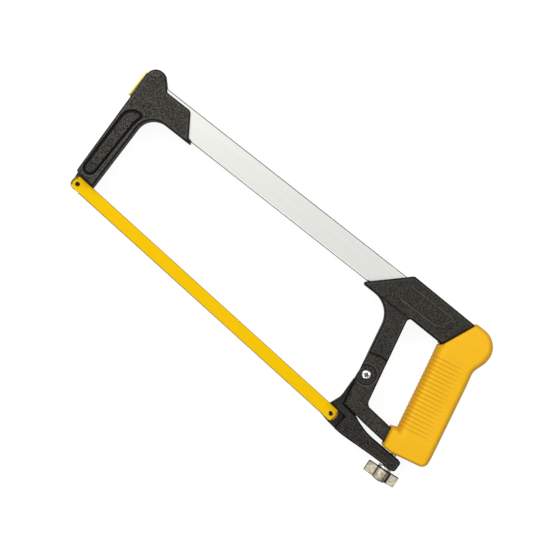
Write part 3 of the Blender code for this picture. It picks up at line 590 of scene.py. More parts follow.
def field_object(name, f, values, local=None, keep=1.0, paint=None):
    """Object from a distance field, with flat areas thinned out. The points where a painted value changes are kept."""
    pos, quads = f.mesh(values)
    me = bpy.data.meshes.new(name)
    me.vertices.add(len(pos))
    me.vertices.foreach_set("co", pos.astype(np.float32).ravel())
    me.loops.add(len(quads) * 4)
    me.loops.foreach_set("vertex_index", quads.astype(np.int32).ravel())
    me.polygons.add(len(quads))
    me.polygons.foreach_set("loop_start", np.arange(0, len(quads) * 4, 4, dtype=np.int32))
    me.update(calc_edges=True)
    me.validate()
    ob = bpy.data.objects.new(name, me)
    bpy.context.scene.collection.objects.link(ob)
    if keep < 1.0:
        mod = ob.modifiers.new("thin", "DECIMATE")
        mod.ratio = keep
        if paint is not None:
            at = np.asarray(pos, np.float64)
            if local is not None:
                m = np.array(local)
                at = at @ m[:3, :3].T + m[:3, 3]
            ends = np.zeros(len(me.edges) * 2, np.int32)
            me.edges.foreach_get("vertices", ends)
            ends = ends.reshape(-1, 2)
            held = np.zeros(len(pos), bool)
            for v in paint(at).values():
                step = np.abs(v[ends[:, 0]] - v[ends[:, 1]]) > 0.08
                held[ends[step].ravel()] = True
            free = ob.vertex_groups.new(name="free")
            free.add([int(k) for k in np.nonzero(~held)[0]], 1.0, "REPLACE")
            mod.vertex_group = "free"
        dg = bpy.context.evaluated_depsgraph_get()
        thin = bpy.data.meshes.new_from_object(ob.evaluated_get(dg))
        ob.modifiers.clear()
        old = ob.data
        ob.data = thin
        bpy.data.meshes.remove(old)
        ob.vertex_groups.clear()
    if local is not None:
        ob.data.transform(local)
    ob.data.transform(TO_ROW)
    if paint is not None:
        for key, v in paint(points(ob).astype(np.float64)).items():
            paint_points(ob, key, v)
    return ob


def settle(ob, body, mat, nodes, sharp=50.0):
    ob.data.materials.clear()
    ob.data.materials.append(mat)
    ob.data.shade_smooth()
    ob.data.set_sharp_from_angle(angle=math.radians(sharp))
    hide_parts(*nodes)
    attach(ob, body)
    return ob


def paint_points(ob, name, values):
    at = ob.data.attributes.new(name, "FLOAT", "POINT")
    at.data.foreach_set("value", np.asarray(values, np.float32))


def points(ob):
    """The mesh's points in drawing millimetres."""
    co = np.zeros(len(ob.data.vertices) * 3, np.float32)
    ob.data.vertices.foreach_get("co", co)
    return co.reshape(-1, 3) * 1000 - np.array(SHIFT)


def smoothstep(a, b, x):
    t = np.clip((x - a) / (b - a), 0, 1)
    return t * t * (3 - 2 * t)


def line_at(d, half, soft=0.35):
    """One on a line where d is zero, fading to nothing past half its width."""
    return 1 - smoothstep(half, half + soft, np.abs(d))


def painted_rim_shade(d, z, face):
    """Painted shade over the rounded rims of a casting: d is the distance to its outline, negative inside."""
    return (1 - smoothstep(0.75, 1.5, -d)) * smoothstep(face - 2.6, face - 1.2, np.abs(z))


# ------------------------------------------------------------------ the castings
def make_rear_casting():
    f = Field((55.5, -57.0, -9.2), (198.0, 77.0, 9.2), 0.45)
    plan = cut(f.plan(REAR_OUTLINE), f.plan(FINGER_HOLE))
    socket = f.plan(SOCKET_STEP)
    strut = f.plan(STRUT_STEP)
    half = 8.2 + 0.8 * ramp(socket, 0.9)
    half = half - 0.8 * ramp(-strut, 1.0)
    half = half[:, :, None]
    body = slab(plan, f.z, -half, half, 1.5)
    tube = box3(f, (30.0, 46.5, -5.8), (143.3, 71.1, 5.8))
    body = cut(body, tube, 0.3)
    body = cut(body, slab(f.plan(CLEVIS), f.z, -4.5, 4.5), 0.4)
    panel = f.plan(PANEL)
    frame_groove = slab(np.maximum(panel, -(panel + 1.1)), f.z, 8.45, 12.0, 0.2)
    body = cut(body, frame_groove, 0.5)
    body = cut(body, slab(panel + 1.0, f.z, 8.8, 12.0), 0.3)
    body = cut(body, slab(f.circle(PIVOT, 8.8), f.z, 6.55, 12.0), 0.35)
    body = cut(body, slab(f.circle(PIVOT, 2.8), f.z, -20.0, 20.0), 0.2)
    for at in REAR_SCREWS:
        r = np.hypot(f.x - at[0], f.y - at[1])
        cone = np.maximum(r - np.clip(1.8 + (-f.z - 7.5), 1.8, 3.3), f.z + 2.5)
        body = cut(body, cone.astype(np.float32), 0.2)
    # the stud's hole and the pocket of its captive nut, on the tilted axis
    dx, dy = f.x - STUD_AT.x, f.y - STUD_AT.y
    s, a = dx * _u.x + dy * _u.y, dx * _a.x + dy * _a.y
    hole = np.maximum(np.hypot(a, f.z) - 3.4, np.maximum(-21.5 - s, s - 12.0))
    pocket = np.maximum(np.maximum(np.abs(a) - 6.1, np.maximum(-14.8 - s, s + 9.0)), -5.3 - f.z)
    body = cut(body, np.minimum(hole, pocket).astype(np.float32))
    clevis = f.plan(CLEVIS)

    def paint(p):
        x, y, z = p.T
        panel_d, body_d = plan_at(f, panel, x, y), plan_at(f, plan, x, y)
        socket_d, strut_d = plan_at(f, socket, x, y), plan_at(f, strut, x, y)
        top = smoothstep(7.2, 7.9, np.abs(z))
        # painted shade: the groove round the panel, the spot face's wall, the socket and strut steps, the clevis slot
        # and the rounded rims
        border = line_at(panel_d + 0.55, 0.15) * smoothstep(8.0, 8.4, z)
        spot = np.hypot(x - PIVOT[0], y - PIVOT[1])
        ring = line_at(spot - 8.8, 0.25, 0.35) * smoothstep(5.9, 6.5, z)
        steps = line_at(socket_d - 0.5, 0.35) * 0.85 * top
        steps = np.maximum(steps, line_at(strut_d + 0.25, 0.65) * smoothstep(6.7, 7.2, z))
        inside = (1 - smoothstep(4.4, 5.0, np.abs(z))) * (1 - smoothstep(-0.2, 0.6, plan_at(f, clevis, x, y)))
        rim_shade = painted_rim_shade(body_d, z, 8.9) + painted_rim_shade(body_d, z, 8.1) * (socket_d > 0)
        # painted highlight along the panel's lip (weaker between heights 53.4 and 65.4), the socket step's edge, the
        # spot face's edge and the outline's rounding
        along = 1 - 0.6 * (np.abs(y - 59.35) < 6.0)
        crest = line_at(panel_d - 0.35, 0.15, 0.3) * smoothstep(8.2, 8.4, z) * along * 0.8
        crest = crest + line_at(socket_d + 0.75, 0.1, 0.3) * (z > 8.3) * 0.5
        crest = crest + line_at(spot - 9.9, 0.15, 0.3) * smoothstep(6.7, 7.3, z) * 0.7 + line_at(body_d + 1.9, 0.15) * top * 0.3
        return {"painted_shade": np.clip(border * 0.6 + ring * 0.85 + steps + inside + rim_shade, 0, 1), "painted_edge_shading": np.clip(crest, 0, 1)}

    ob = field_object("rear_casting_cast", f, body, keep=0.5, paint=paint)
    return settle(ob, "frame", MAT["rear"], ["rear_casting"])


def make_front_casting():
    f = Field((-204.0, -50.0, -8.7), (-135.0, 80.2, 8.7), 0.42)
    plan = f.plan(FRONT_OUTLINE)
    body = slab(plan, f.z, -8.5, 8.5, 1.9)
    body = cut(body, box3(f, (-230.0, 46.5, -5.8), (-100.0, 71.1, 5.8)), 0.3)
    body = cut(body, slab(f.plan(FRONT_SEAT), f.z, -0.3, 20.0), 0.4)
    outer, island = f.plan(GROOVE_OUTER), f.plan(GROOVE_ISLAND)
    body = cut(body, slab(np.maximum(outer, -island), f.z, 6.6, 20.0, 0.5), 0.9)
    ring = np.abs(f.circle((-190.4, -22.6), 2.9)) - 0.28
    body = cut(body, slab(ring, f.z, 8.25, 20.0), 0.3)
    body = cut(body, slab(f.circle(FRONT_PEG, 2.0), f.z, -20.0, 3.0), 0.15)
    r = np.hypot(f.x - FRONT_SCREW[0], f.y - FRONT_SCREW[1])
    cone = np.maximum(r - np.clip(1.8 + (-f.z - 7.0), 1.8, 3.3), f.z + 2.5)
    body = cut(body, cone.astype(np.float32), 0.2)
    seat = f.plan(FRONT_SEAT)

    def paint(p):
        x, y, z = p.T
        body_d, outer_d = plan_at(f, plan, x, y), plan_at(f, outer, x, y)
        moat = np.minimum(-outer_d, plan_at(f, island, x, y))
        # painted shade in the bean groove, in the small ring groove, at the blade seat's wall and over the rounded rims
        dark = smoothstep(-0.35, 0.25, moat) * smoothstep(6.0, 6.6, z)
        mark = line_at(np.hypot(x + 190.4, y + 22.6) - 2.9, 0.2, 0.3) * smoothstep(7.9, 8.3, z)
        edge = line_at(plan_at(f, seat, x, y), 0.45) * (z > -0.5)
        # painted highlight along the groove's outer lip and the outline's rounding
        lip = line_at(outer_d - 0.75, 0.2) * 0.5 + line_at(body_d + 2.0, 0.2) * 0.35
        return {"painted_shade": np.clip(dark + 0.7 * mark + 0.8 * edge + painted_rim_shade(body_d, z, 8.3) * 0.9, 0, 1),
                "painted_edge_shading": np.clip(lip * smoothstep(7.6, 8.1, z), 0, 1)}

    ob = field_object("front_casting_cast", f, body, keep=0.6, paint=paint)
    return settle(ob, "frame", MAT["front"], ["front_casting"])


def make_lever():
    f = Field((96.0, -73.6, -6.6), (183.0, -11.0, 6.6), 0.36)
    body = slab(f.plan(LEVER_BODY), f.z, -6.4, 6.4, 1.2)
    body = join(body, slab(f.plan(LEVER_TONGUE), f.z, -4.2, 4.2, 0.4), 0.4)
    body = cut(body, slab(f.plan(LEVER_SEAT), f.z, -0.3, 20.0), 0.4)
    body = cut(body, slab(f.circle(PIVOT, 3.8), f.z, -20.0, 20.0), 0.2)
    body = cut(body, slab(f.circle(REAR_PEG, 2.0), f.z, -20.0, 3.0), 0.15)
    d = np.hypot(np.maximum(np.abs(f.x - 175.35) - 5.65 + 3.2, 0), np.maximum(np.abs(f.z) - 0.2, 0)) - 3.2
    body = cut(body, np.maximum(d, f.y + 50.0).astype(np.float32) + 0 * f.y, 0.35)
    seat, outline = f.plan(LEVER_SEAT), f.plan(LEVER_BODY)

    def paint(p):
        x, y, z = p.T
        seat_d, body_d = plan_at(f, seat, x, y), plan_at(f, outline, x, y)
        # painted shade at the blade seat's wall and over the rounded rims, and a painted highlight along the outline's
        # rounding past x 140
        edge = line_at(seat_d, 0.35) * (z > -0.8)
        lip = line_at(body_d + 1.7, 0.15) * smoothstep(5.8, 6.2, z) * (x > 140) * 0.35
        return {"painted_shade": np.clip(edge * 0.9 + painted_rim_shade(body_d, z, 6.3) * 0.95, 0, 1), "painted_edge_shading": np.clip(lip, 0, 1)}

    ob = field_object("tension_lever_cast", f, body, keep=0.7, paint=paint)
    return settle(ob, "lever", MAT["lever"], ["tension_lever"])


# ----------------------------------------------------------------------- the grip
RIB_ANGLE = math.radians(11.5)
RIB_PITCH = 3.75


RIB_DEPTH = 0.45


def rib_mask(x, y):
    """(how deep each point lies between two ribs, the same a little wider for the painted shade), both 0 to 1."""
    c, s = math.cos(RIB_ANGLE), math.sin(RIB_ANGLE)
    down = (-(y - 38.6) * c + (x - 165.0) * s) / RIB_PITCH
    rear = (x - 185.9) * 0.9777 + (y - 28.0) * 0.2101
    band = smoothstep(-0.1, 0.4, down) * (1 - smoothstep(18.9, 19.6, down))
    side = 1 - smoothstep(-17.0, -7.5, rear)
    foot = smoothstep(-37.5, -34.5, y + np.clip(172.0 - x, 0, 12) * 0.22)
    saw = np.abs((down % 1.0) - 0.5) * 2
    where = band * side * foot
    left = 1.25 - 0.45 * smoothstep(-34.0, -12.0, rear)
    return smoothstep(0.55, 0.97, saw) * where * left, smoothstep(0.5, 0.95, saw) * where * np.minimum(left, 1.0)


def make_grip():
    f = Field((143.0, -59.6, -14.6), (202.6, 77.0, 14.6), 0.46)
    plain = f.plan(GRIP_OUTLINE)

    def pillow(outline, weights):
        """Body whose half thickness swells from nothing at the outline to 14.5 over 8.5 mm times each edge's weight."""
        reach = np.clip(8.5 + f.plan(outline, weights), 0.0, None) / 8.5
        power = 2.5
        g = (np.clip(reach, 0, 3)[:, :, None] ** power + (np.abs(f.z) / 14.5) ** power) ** (1 / power) - 1.0
        gx, gy, gz = np.gradient(g, f.step)
        return (g / np.maximum(np.sqrt(gx * gx + gy * gy + gz * gz), 0.02)).astype(np.float32)

    body = join(pillow(GRIP_NECK, NECK_WEIGHTS), pillow(GRIP_HEAD, HEAD_WEIGHTS), 0.5)
    body = join(body, pillow(GRIP_FOOT, FOOT_WEIGHTS), 0.5)
    body = np.maximum(np.maximum(body, plain[:, :, None]), np.abs(f.z) - 14.45).astype(np.float32)
    body = body + (RIB_DEPTH * rib_mask(f.x2, f.y2)[0])[:, :, None].astype(np.float32)
    dot = np.clip(1 - np.hypot(f.x2 - 165.0, f.y2 - 60.3) / 1.1, 0, 1) ** 2
    body = body + (0.25 * dot)[:, :, None].astype(np.float32)
    hollow = slab(f.plan(CAVITY) - 0.3, f.z, -8.5, 8.5)
    hollow = np.minimum(hollow, slab(f.plan(BAR_HOLE) - 0.3, f.z, -7.7, 7.7))
    dx, dy = f.x - STUD_AT.x, f.y - STUD_AT.y
    s, a = dx * _u.x + dy * _u.y, dx * _a.x + dy * _a.y
    hollow = np.minimum(hollow, np.maximum(np.hypot(a, f.z) - 3.5, np.maximum(-8.0 - s, s - 12.0)).astype(np.float32))
    body = cut(body, hollow, 0.2)

    def paint(p):
        # painted shade between the ribs and over the rounded sides
        return {"painted_groove_shade": rib_mask(p[:, 0], p[:, 1])[1], "rim_shade": 1 - smoothstep(10.5, 14.4, np.abs(p[:, 2]))}

    ob = field_object("grip_ribbed", f, body, keep=0.6, paint=paint)
    return settle(ob, "frame", MAT["grip"], ["grip"], sharp=60.0)


# ------------------------------------------------------------------ small castings
def phillips(x, y, z, top, size, depth):
    """Tapered cross recess in a screw head whose crown is at height top."""
    d = top - z
    w = np.clip(0.16 * size + 0.02 * size - 0.06 * d, 0.12, None)
    arm = np.clip(size * 0.5 - d * 0.55, 0.25, None)
    one = np.maximum(np.abs(x) - arm, np.abs(y) - w)
    two = np.maximum(np.abs(y) - arm, np.abs(x) - w)
    heart = np.hypot(x, y) - (arm * 0.52)
    return np.maximum(np.minimum(np.minimum(one, two), heart), d - depth).astype(np.float32)


def make_wing_nut():
    f = Field((-16.6, -6.9, 15.0), (16.6, 6.9, 27.8), 0.2)
    r = np.hypot(f.x, f.y)
    side = 6.5 - 0.35 * np.clip((f.z - 19.0) / 8.0, 0, 1) ** 2
    drum = np.maximum(r - side, 15.45 - f.z)
    ball = np.sqrt(r * r + (f.z - 9.4) ** 2) - 17.92
    hub = -join(-drum, -ball, 1.2)
    c, s = math.cos(math.radians(12.0)), math.sin(math.radians(12.0))
    x, y = f.x * c - f.y * s, f.x * s + f.y * c
    g = Field.__new__(Field)
    g.x2, g.y2 = np.meshgrid(f.lo[0] + f.step * np.arange(f.x2.shape[0], dtype=np.float32),
                             f.z[0, 0, :], indexing="ij")
    flat = g.plan(WING)
    # the wings' outline is read at each point's distance along the turned wing
    i = np.clip((np.abs(x) - f.lo[0]) / f.step, 0, flat.shape[0] - 1.001)
    i0 = np.floor(i).astype(int)
    w = i - i0
    k = np.arange(f.z.shape[2])[None, None, :]
    plan = flat[i0, k] * (1 - w) + flat[i0 + 1, k] * w
    thick = 1.35 + 0.012 * (16 - np.abs(x))
    q1, q2 = plan + 0.7, np.abs(y) - thick + 0.7
    wings = np.minimum(np.maximum(q1, q2), 0) + np.hypot(np.maximum(q1, 0), np.maximum(q2, 0)) - 0.7
    body = join(hub.astype(np.float32), wings.astype(np.float32), 1.3)
    body = np.maximum(body, 15.45 - f.z)
    bore = np.maximum(r - 3.3, f.z - 24.6)
    body = cut(body.astype(np.float32), bore.astype(np.float32), 0.3)

    def paint(p):
        p = p - np.array(STUD_AT)
        along, out = p @ np.array(_a), p @ np.array(_u)
        wx, wy = along * c - p[:, 2] * s, along * s + p[:, 2] * c
        hub_r = np.hypot(wx, wy)
        # painted shade where the wings meet the hub, down the hub's flanks, near the washer and at the wing tips; a
        # painted reflection down the right part of the hub; and the whole hub darker, most down its middle
        valley = np.where(wx < 0, line_at(hub_r - 7.0, 0.15, 0.5) * 0.6, line_at(hub_r - 7.1, 0.55, 0.6)) * (np.abs(wy) < 3.6)
        flank = line_at(np.abs(wx) - 6.4, 0.2, 0.5) * (wy > 1.0) * np.where(wx < 0, 0.6, 0.9)
        near = 1 - smoothstep(16.1, 17.1, out + 0.35 * np.exp(-((np.abs(wx) - 11.0) / 4.0) ** 2))
        painted_reflection = line_at(wx - 4.6, 0.6, 0.8) * 0.5
        tip = line_at(np.abs(wx) - 16.1, 0.3, 0.5) * 0.75
        hub_dark = (0.38 + 0.16 * np.exp(-(wx / 3.0) ** 2)) * (1 - smoothstep(6.0, 6.8, hub_r))
        return {"painted_shade": np.clip(valley + flank + near + painted_reflection + tip + hub_dark, 0, 1)}

    ob = field_object("wing_nut_cast", f, body, local=ON_STUD, keep=0.7, paint=paint)
    return settle(ob, "wing_nut", MAT["nickel"], ["wing_nut"])


def make_washer():
    f = Field((-6.5, -6.5, 13.4), (6.5, 6.5, 15.3), 0.13)
    r = np.hypot(f.x, f.y)
    q1, q2 = np.maximum(r - 6.4, 3.3 - r) + 0.3, np.maximum(13.5 - f.z, f.z - 15.2) + 0.3
    body = np.minimum(np.maximum(q1, q2), 0) + np.hypot(np.maximum(q1, 0), np.maximum(q2, 0)) - 0.3
    ob = field_object("wing_nut_washer_pressed", f, body.astype(np.float32), local=ON_STUD, keep=0.5)
    return settle(ob, "nut_washer", MAT["zinc"], ["wing_nut_washer"])


def make_pivot_screw():
    f = Field((-4.3, -4.3, -13.3), (4.3, 4.3, 9.6), 0.14)
    r = np.hypot(f.x, f.y)
    base = 6.85
    drum = np.maximum(r - 4.15, base - f.z)
    ball = np.sqrt(r * r + (f.z - (base + 2.5 - 7.2)) ** 2) - 7.2
    head = -join(-drum, -ball, 0.8)
    pitch = 0.8
    turn = np.arctan2(f.y, f.x) / (2 * math.pi)
    wave = np.abs(((f.z / pitch - turn) % 1.0) - 0.5) * 2
    threaded = np.where(f.z < -7.2, 1.0, 0.0)
    shank = np.maximum(r - (2.5 - threaded * 0.38 * wave), np.maximum(-13.1 - f.z, f.z - base - 0.5))
    tip = r + (-12.5 - f.z) - 2.5
    shank = np.maximum(shank, tip)
    body = np.minimum(head, shank).astype(np.float32)
    body = cut(body, phillips(f.x, f.y, f.z, base + 2.5, 4.9, 1.7), 0.2)

    def paint(p):
        p = p - np.array((*PIVOT, 0.0))
        r = np.hypot(p[:, 0], p[:, 1])
        crown = base + 2.5 - 7.2 + np.sqrt(np.maximum(7.2 ** 2 - r * r, 0.0))
        # painted shade down in the cross recess and round the head's edge
        return {"painted_shade": smoothstep(0.25, 0.75, crown - p[:, 2]) * (r < 2.9) * 0.85 + line_at(r - 4.15, 0.12, 0.2) * 0.5 * (p[:, 2] > base)}

    ob = field_object("pivot_screw_turned", f, body, local=Matrix.Translation((*PIVOT, 0.0)), keep=0.7, paint=paint)
    return settle(ob, "frame", MAT["zinc"], ["pivot_screw"], sharp=45.0)


def make_pivot_nut():
    f = Field((-4.8, -4.8, -12.6), (4.8, 4.8, -8.7), 0.13)
    hexa = np.full(f.x2.shape, -1e9, np.float32)
    for k in range(3):
        t = math.radians(60 * k + 30)
        hexa = np.maximum(hexa, np.abs(f.x2 * math.cos(t) + f.y2 * math.sin(t)) - 4.0)
    body = slab(hexa, f.z, -12.4, -8.9, 0.15)
    r = np.hypot(f.x, f.y)
    body = np.maximum(body, (r + (-12.4 - f.z) * 1.6 - 4.05) * 0.53)
    body = np.maximum(body, (r + (f.z + 8.9) * 1.6 - 4.05) * 0.53)
    body = np.maximum(body, 2.75 - r)
    ob = field_object("pivot_nut_hex", f, body.astype(np.float32), local=Matrix.Translation((*PIVOT, 0.0)), keep=0.5)
    return settle(ob, "frame", MAT["zinc"], ["pivot_nut"], sharp=30.0)


def make_pivot_washer():
    f = Field((-5.3, -5.3, -8.8), (5.3, 5.3, -7.5), 0.12)
    r = np.hypot(f.x, f.y)
    q1, q2 = np.maximum(r - 5.2, 2.75 - r) + 0.2, np.maximum(-8.65 - f.z, f.z + 7.65) + 0.2
    body = np.minimum(np.maximum(q1, q2), 0) + np.hypot(np.maximum(q1, 0), np.maximum(q2, 0)) - 0.2
    ob = field_object("pivot_washer_pressed", f, body.astype(np.float32), local=Matrix.Translation((*PIVOT, 0.0)), keep=0.5)
    return settle(ob, "frame", MAT["zinc"], ["pivot_washer"])


def make_fixing_screw(name, at, face):
    f = Field((-3.1, -3.1, -face - 0.1), (3.1, 3.1, -3.3), 0.1)
    r = np.hypot(f.x, f.y)
    cone = r - np.clip(1.5 + (-f.z - (face - 0.15 - 1.4)), 1.5, 2.9)
    turn = np.arctan2(f.y, f.x) / (2 * math.pi)
    wave = np.abs(((f.z / 0.5 - turn) % 1.0) - 0.5) * 2
    shank = r - (1.5 - 0.24 * wave * np.where(f.z > -face + 2.2, 1.0, 0.0))
    body = np.maximum(np.where(f.z > -face + 1.6, shank, cone), np.maximum(-face + 0.15 - f.z, f.z + 3.4))
    body = np.maximum(body, r + (f.z + 3.9) - 1.5)
    body = cut(body.astype(np.float32), phillips(f.x, f.y, -f.z, face - 0.15, 3.5, 1.2), 0.12)
    ob = field_object(name + "_turned", f, body, local=Matrix.Translation((*at, 0.0)), keep=0.5)
    return settle(ob, "frame", MAT["zinc"], [name], sharp=45.0)


def make_stud():
    """M6 rod with its thread as real geometry: a ring of points that follows the helix."""
    pitch, r_out, r_in = 1.0, 3.0, 2.42
    per = 10
    segs = 40
    z0, z1 = -20.0, 22.5
    rows = int((z1 - z0) / pitch * per) + 1
    pos, faces = [], []
    for k in range(rows):
        z = z0 + (z1 - z0) * k / (rows - 1)
        end = min(z - z0, z1 - z)
        for i in range(segs):
            t = 2 * math.pi * i / segs
            w = abs(((z / pitch - i / segs) % 1.0) - 0.5) * 2
            w = min(max((w - 0.12) / 0.7, 0.0), 1.0)
            r = min(r_out - (r_out - r_in) * w, r_out - 0.75 + end * 1.1)
            pos.append((r * math.cos(t), r * math.sin(t), z))
    for k in range(rows - 1):
        for i in range(segs):
            j = (i + 1) % segs
            faces.append((k * segs + i, k * segs + j, (k + 1) * segs + j, (k + 1) * segs + i))
    faces.append(tuple(range(segs))[::-1])
    faces.append(tuple((rows - 1) * segs + i for i in range(segs)))
    ob = to_object("tension_stud_threaded", pos, faces, ON_STUD)
    return settle(ob, "frame", MAT["thread"], ["tension_stud"], sharp=40.0)


def make_peg(name, at, low, body):
    f = Field((-1.8, -1.8, low - 0.1), (1.8, 1.8, 1.85), 0.1)
    r = np.hypot(f.x, f.y)
    q1, q2 = r - 1.7 + 0.45, np.maximum(low - f.z, f.z - 1.75) + 0.45
    v = np.minimum(np.maximum(q1, q2), 0) + np.hypot(np.maximum(q1, 0), np.maximum(q2, 0)) - 0.45
    dimple = np.sqrt(r * r + (f.z - 2.3) ** 2) - 0.85
    v = cut(v.astype(np.float32), dimple.astype(np.float32), 0.2)
    ob = field_object(name + "_turned", f, v, local=Matrix.Translation((at.x, at.y, 0.0)), keep=0.5)
    return settle(ob, body, MAT["oiled"], [name])


def make_cap():
    f = Field((-205.7, 45.8, -7.0), (-191.5, 71.1, 7.0), 0.28)
    lid = box3(f, (-205.6, 45.9, -6.9), (-203.2, 71.0, 6.9), 1.1)
    seam = np.abs(f.x + 204.2)
    lid = lid + (0.18 * np.clip(1 - seam / 0.35, 0, 1)).astype(np.float32)
    plug = np.maximum(box3(f, (-204.0, 48.3, -4.0), (-192.0, 69.3, 4.0), 0.6),
                      -box3(f, (-201.5, 49.8, -2.5), (-180.0, 67.8, 2.5), 0.4))
    ob = field_object("storage_cap_moulded", f, np.minimum(lid, plug), keep=0.5)
    return settle(ob, "storage_cap", MAT["cap"], ["storage_cap"])


def make_tube():
    """Drawn rectangular tube with rounded corners, deburred ends and three screw holes in its far wall."""
    def loop(grow, x):
        r = max(1.6 + grow, 0.4)
        res = []
        for cy, cz, a0 in ((70.8 + grow - r, 5.5 + grow - r, 0), (46.8 - grow + r, 5.5 + grow - r, 90),
                           (46.8 - grow + r, -5.5 - grow + r, 180), (70.8 + grow - r, -5.5 - grow + r, 270)):
            for k in range(9):
                t = math.radians(a0 + 90 * k / 8)
                res.append((x, cy + r * math.cos(t), cz + r * math.sin(t)))
        return res
    x0, x1 = -201.4, 143.0
    rings = [loop(0.0, x0 + 0.3), loop(0.0, x1 - 0.3), loop(-0.3, x1), loop(-0.9, x1), loop(-1.2, x1 - 0.3),
             loop(-1.2, x0 + 0.3), loop(-0.9, x0), loop(-0.3, x0)]
    n = len(rings[0])
    pos = [p for ring in rings for p in ring]
    faces = []
    for k in range(len(rings)):
        m = (k + 1) % len(rings)
        for i in range(n):
            j = (i + 1) % n
            faces.append((k * n + i, k * n + j, m * n + j, m * n + i))
    ob = to_object("back_tube_drawn", pos, faces)
    bm = bmesh.new()
    bm.from_mesh(ob.data)
    bmesh.ops.recalc_face_normals(bm, faces=bm.faces[:])
    bm.to_mesh(ob.data)
    bm.free()
    cutters = []
    for at in (FRONT_SCREW, *REAR_SCREWS):
        c = bmesh.new()
        bmesh.ops.create_cone(c, cap_ends=True, segments=24, radius1=1.8, radius2=1.8, depth=6.0,
                              matrix=Matrix.Translation((at[0], at[1], -5.2)))
        bmesh.ops.transform(c, matrix=TO_ROW, verts=c.verts[:])
        me = bpy.data.meshes.new("hole")
        c.to_mesh(me)
        c.free()
        h = bpy.data.objects.new("hole", me)
        bpy.context.scene.collection.objects.link(h)
        mod = ob.modifiers.new("hole", "BOOLEAN")
        mod.object = h
        mod.solver = "EXACT"
        cutters.append(h)
    dg = bpy.context.evaluated_depsgraph_get()
    done = bpy.data.meshes.new_from_object(ob.evaluated_get(dg))
    ob.modifiers.clear()
    ob.data = done
    for h in cutters:
        bpy.data.objects.remove(h, do_unlink=True)
    # painted shade, standing in for a dark reflection, over the outer half of each rounded corner
    p = points(ob).astype(np.float64)
    cy, cz = np.abs(p[:, 1] - 58.8) - 10.4, np.abs(p[:, 2]) - 3.9
    lean = np.degrees(np.arctan2(cy, cz))
    arc = (cy > 0.02) & (cz > 0.02) & (np.hypot(cy, cz) > 1.45)
    paint_points(ob, "corner", arc * smoothstep(28.0, 50.0, lean) * np.where(p[:, 1] > 58.8, 0.95, 0.6))
    return settle(ob, "frame", MAT["tube"], ["back_tube"], sharp=28.0)


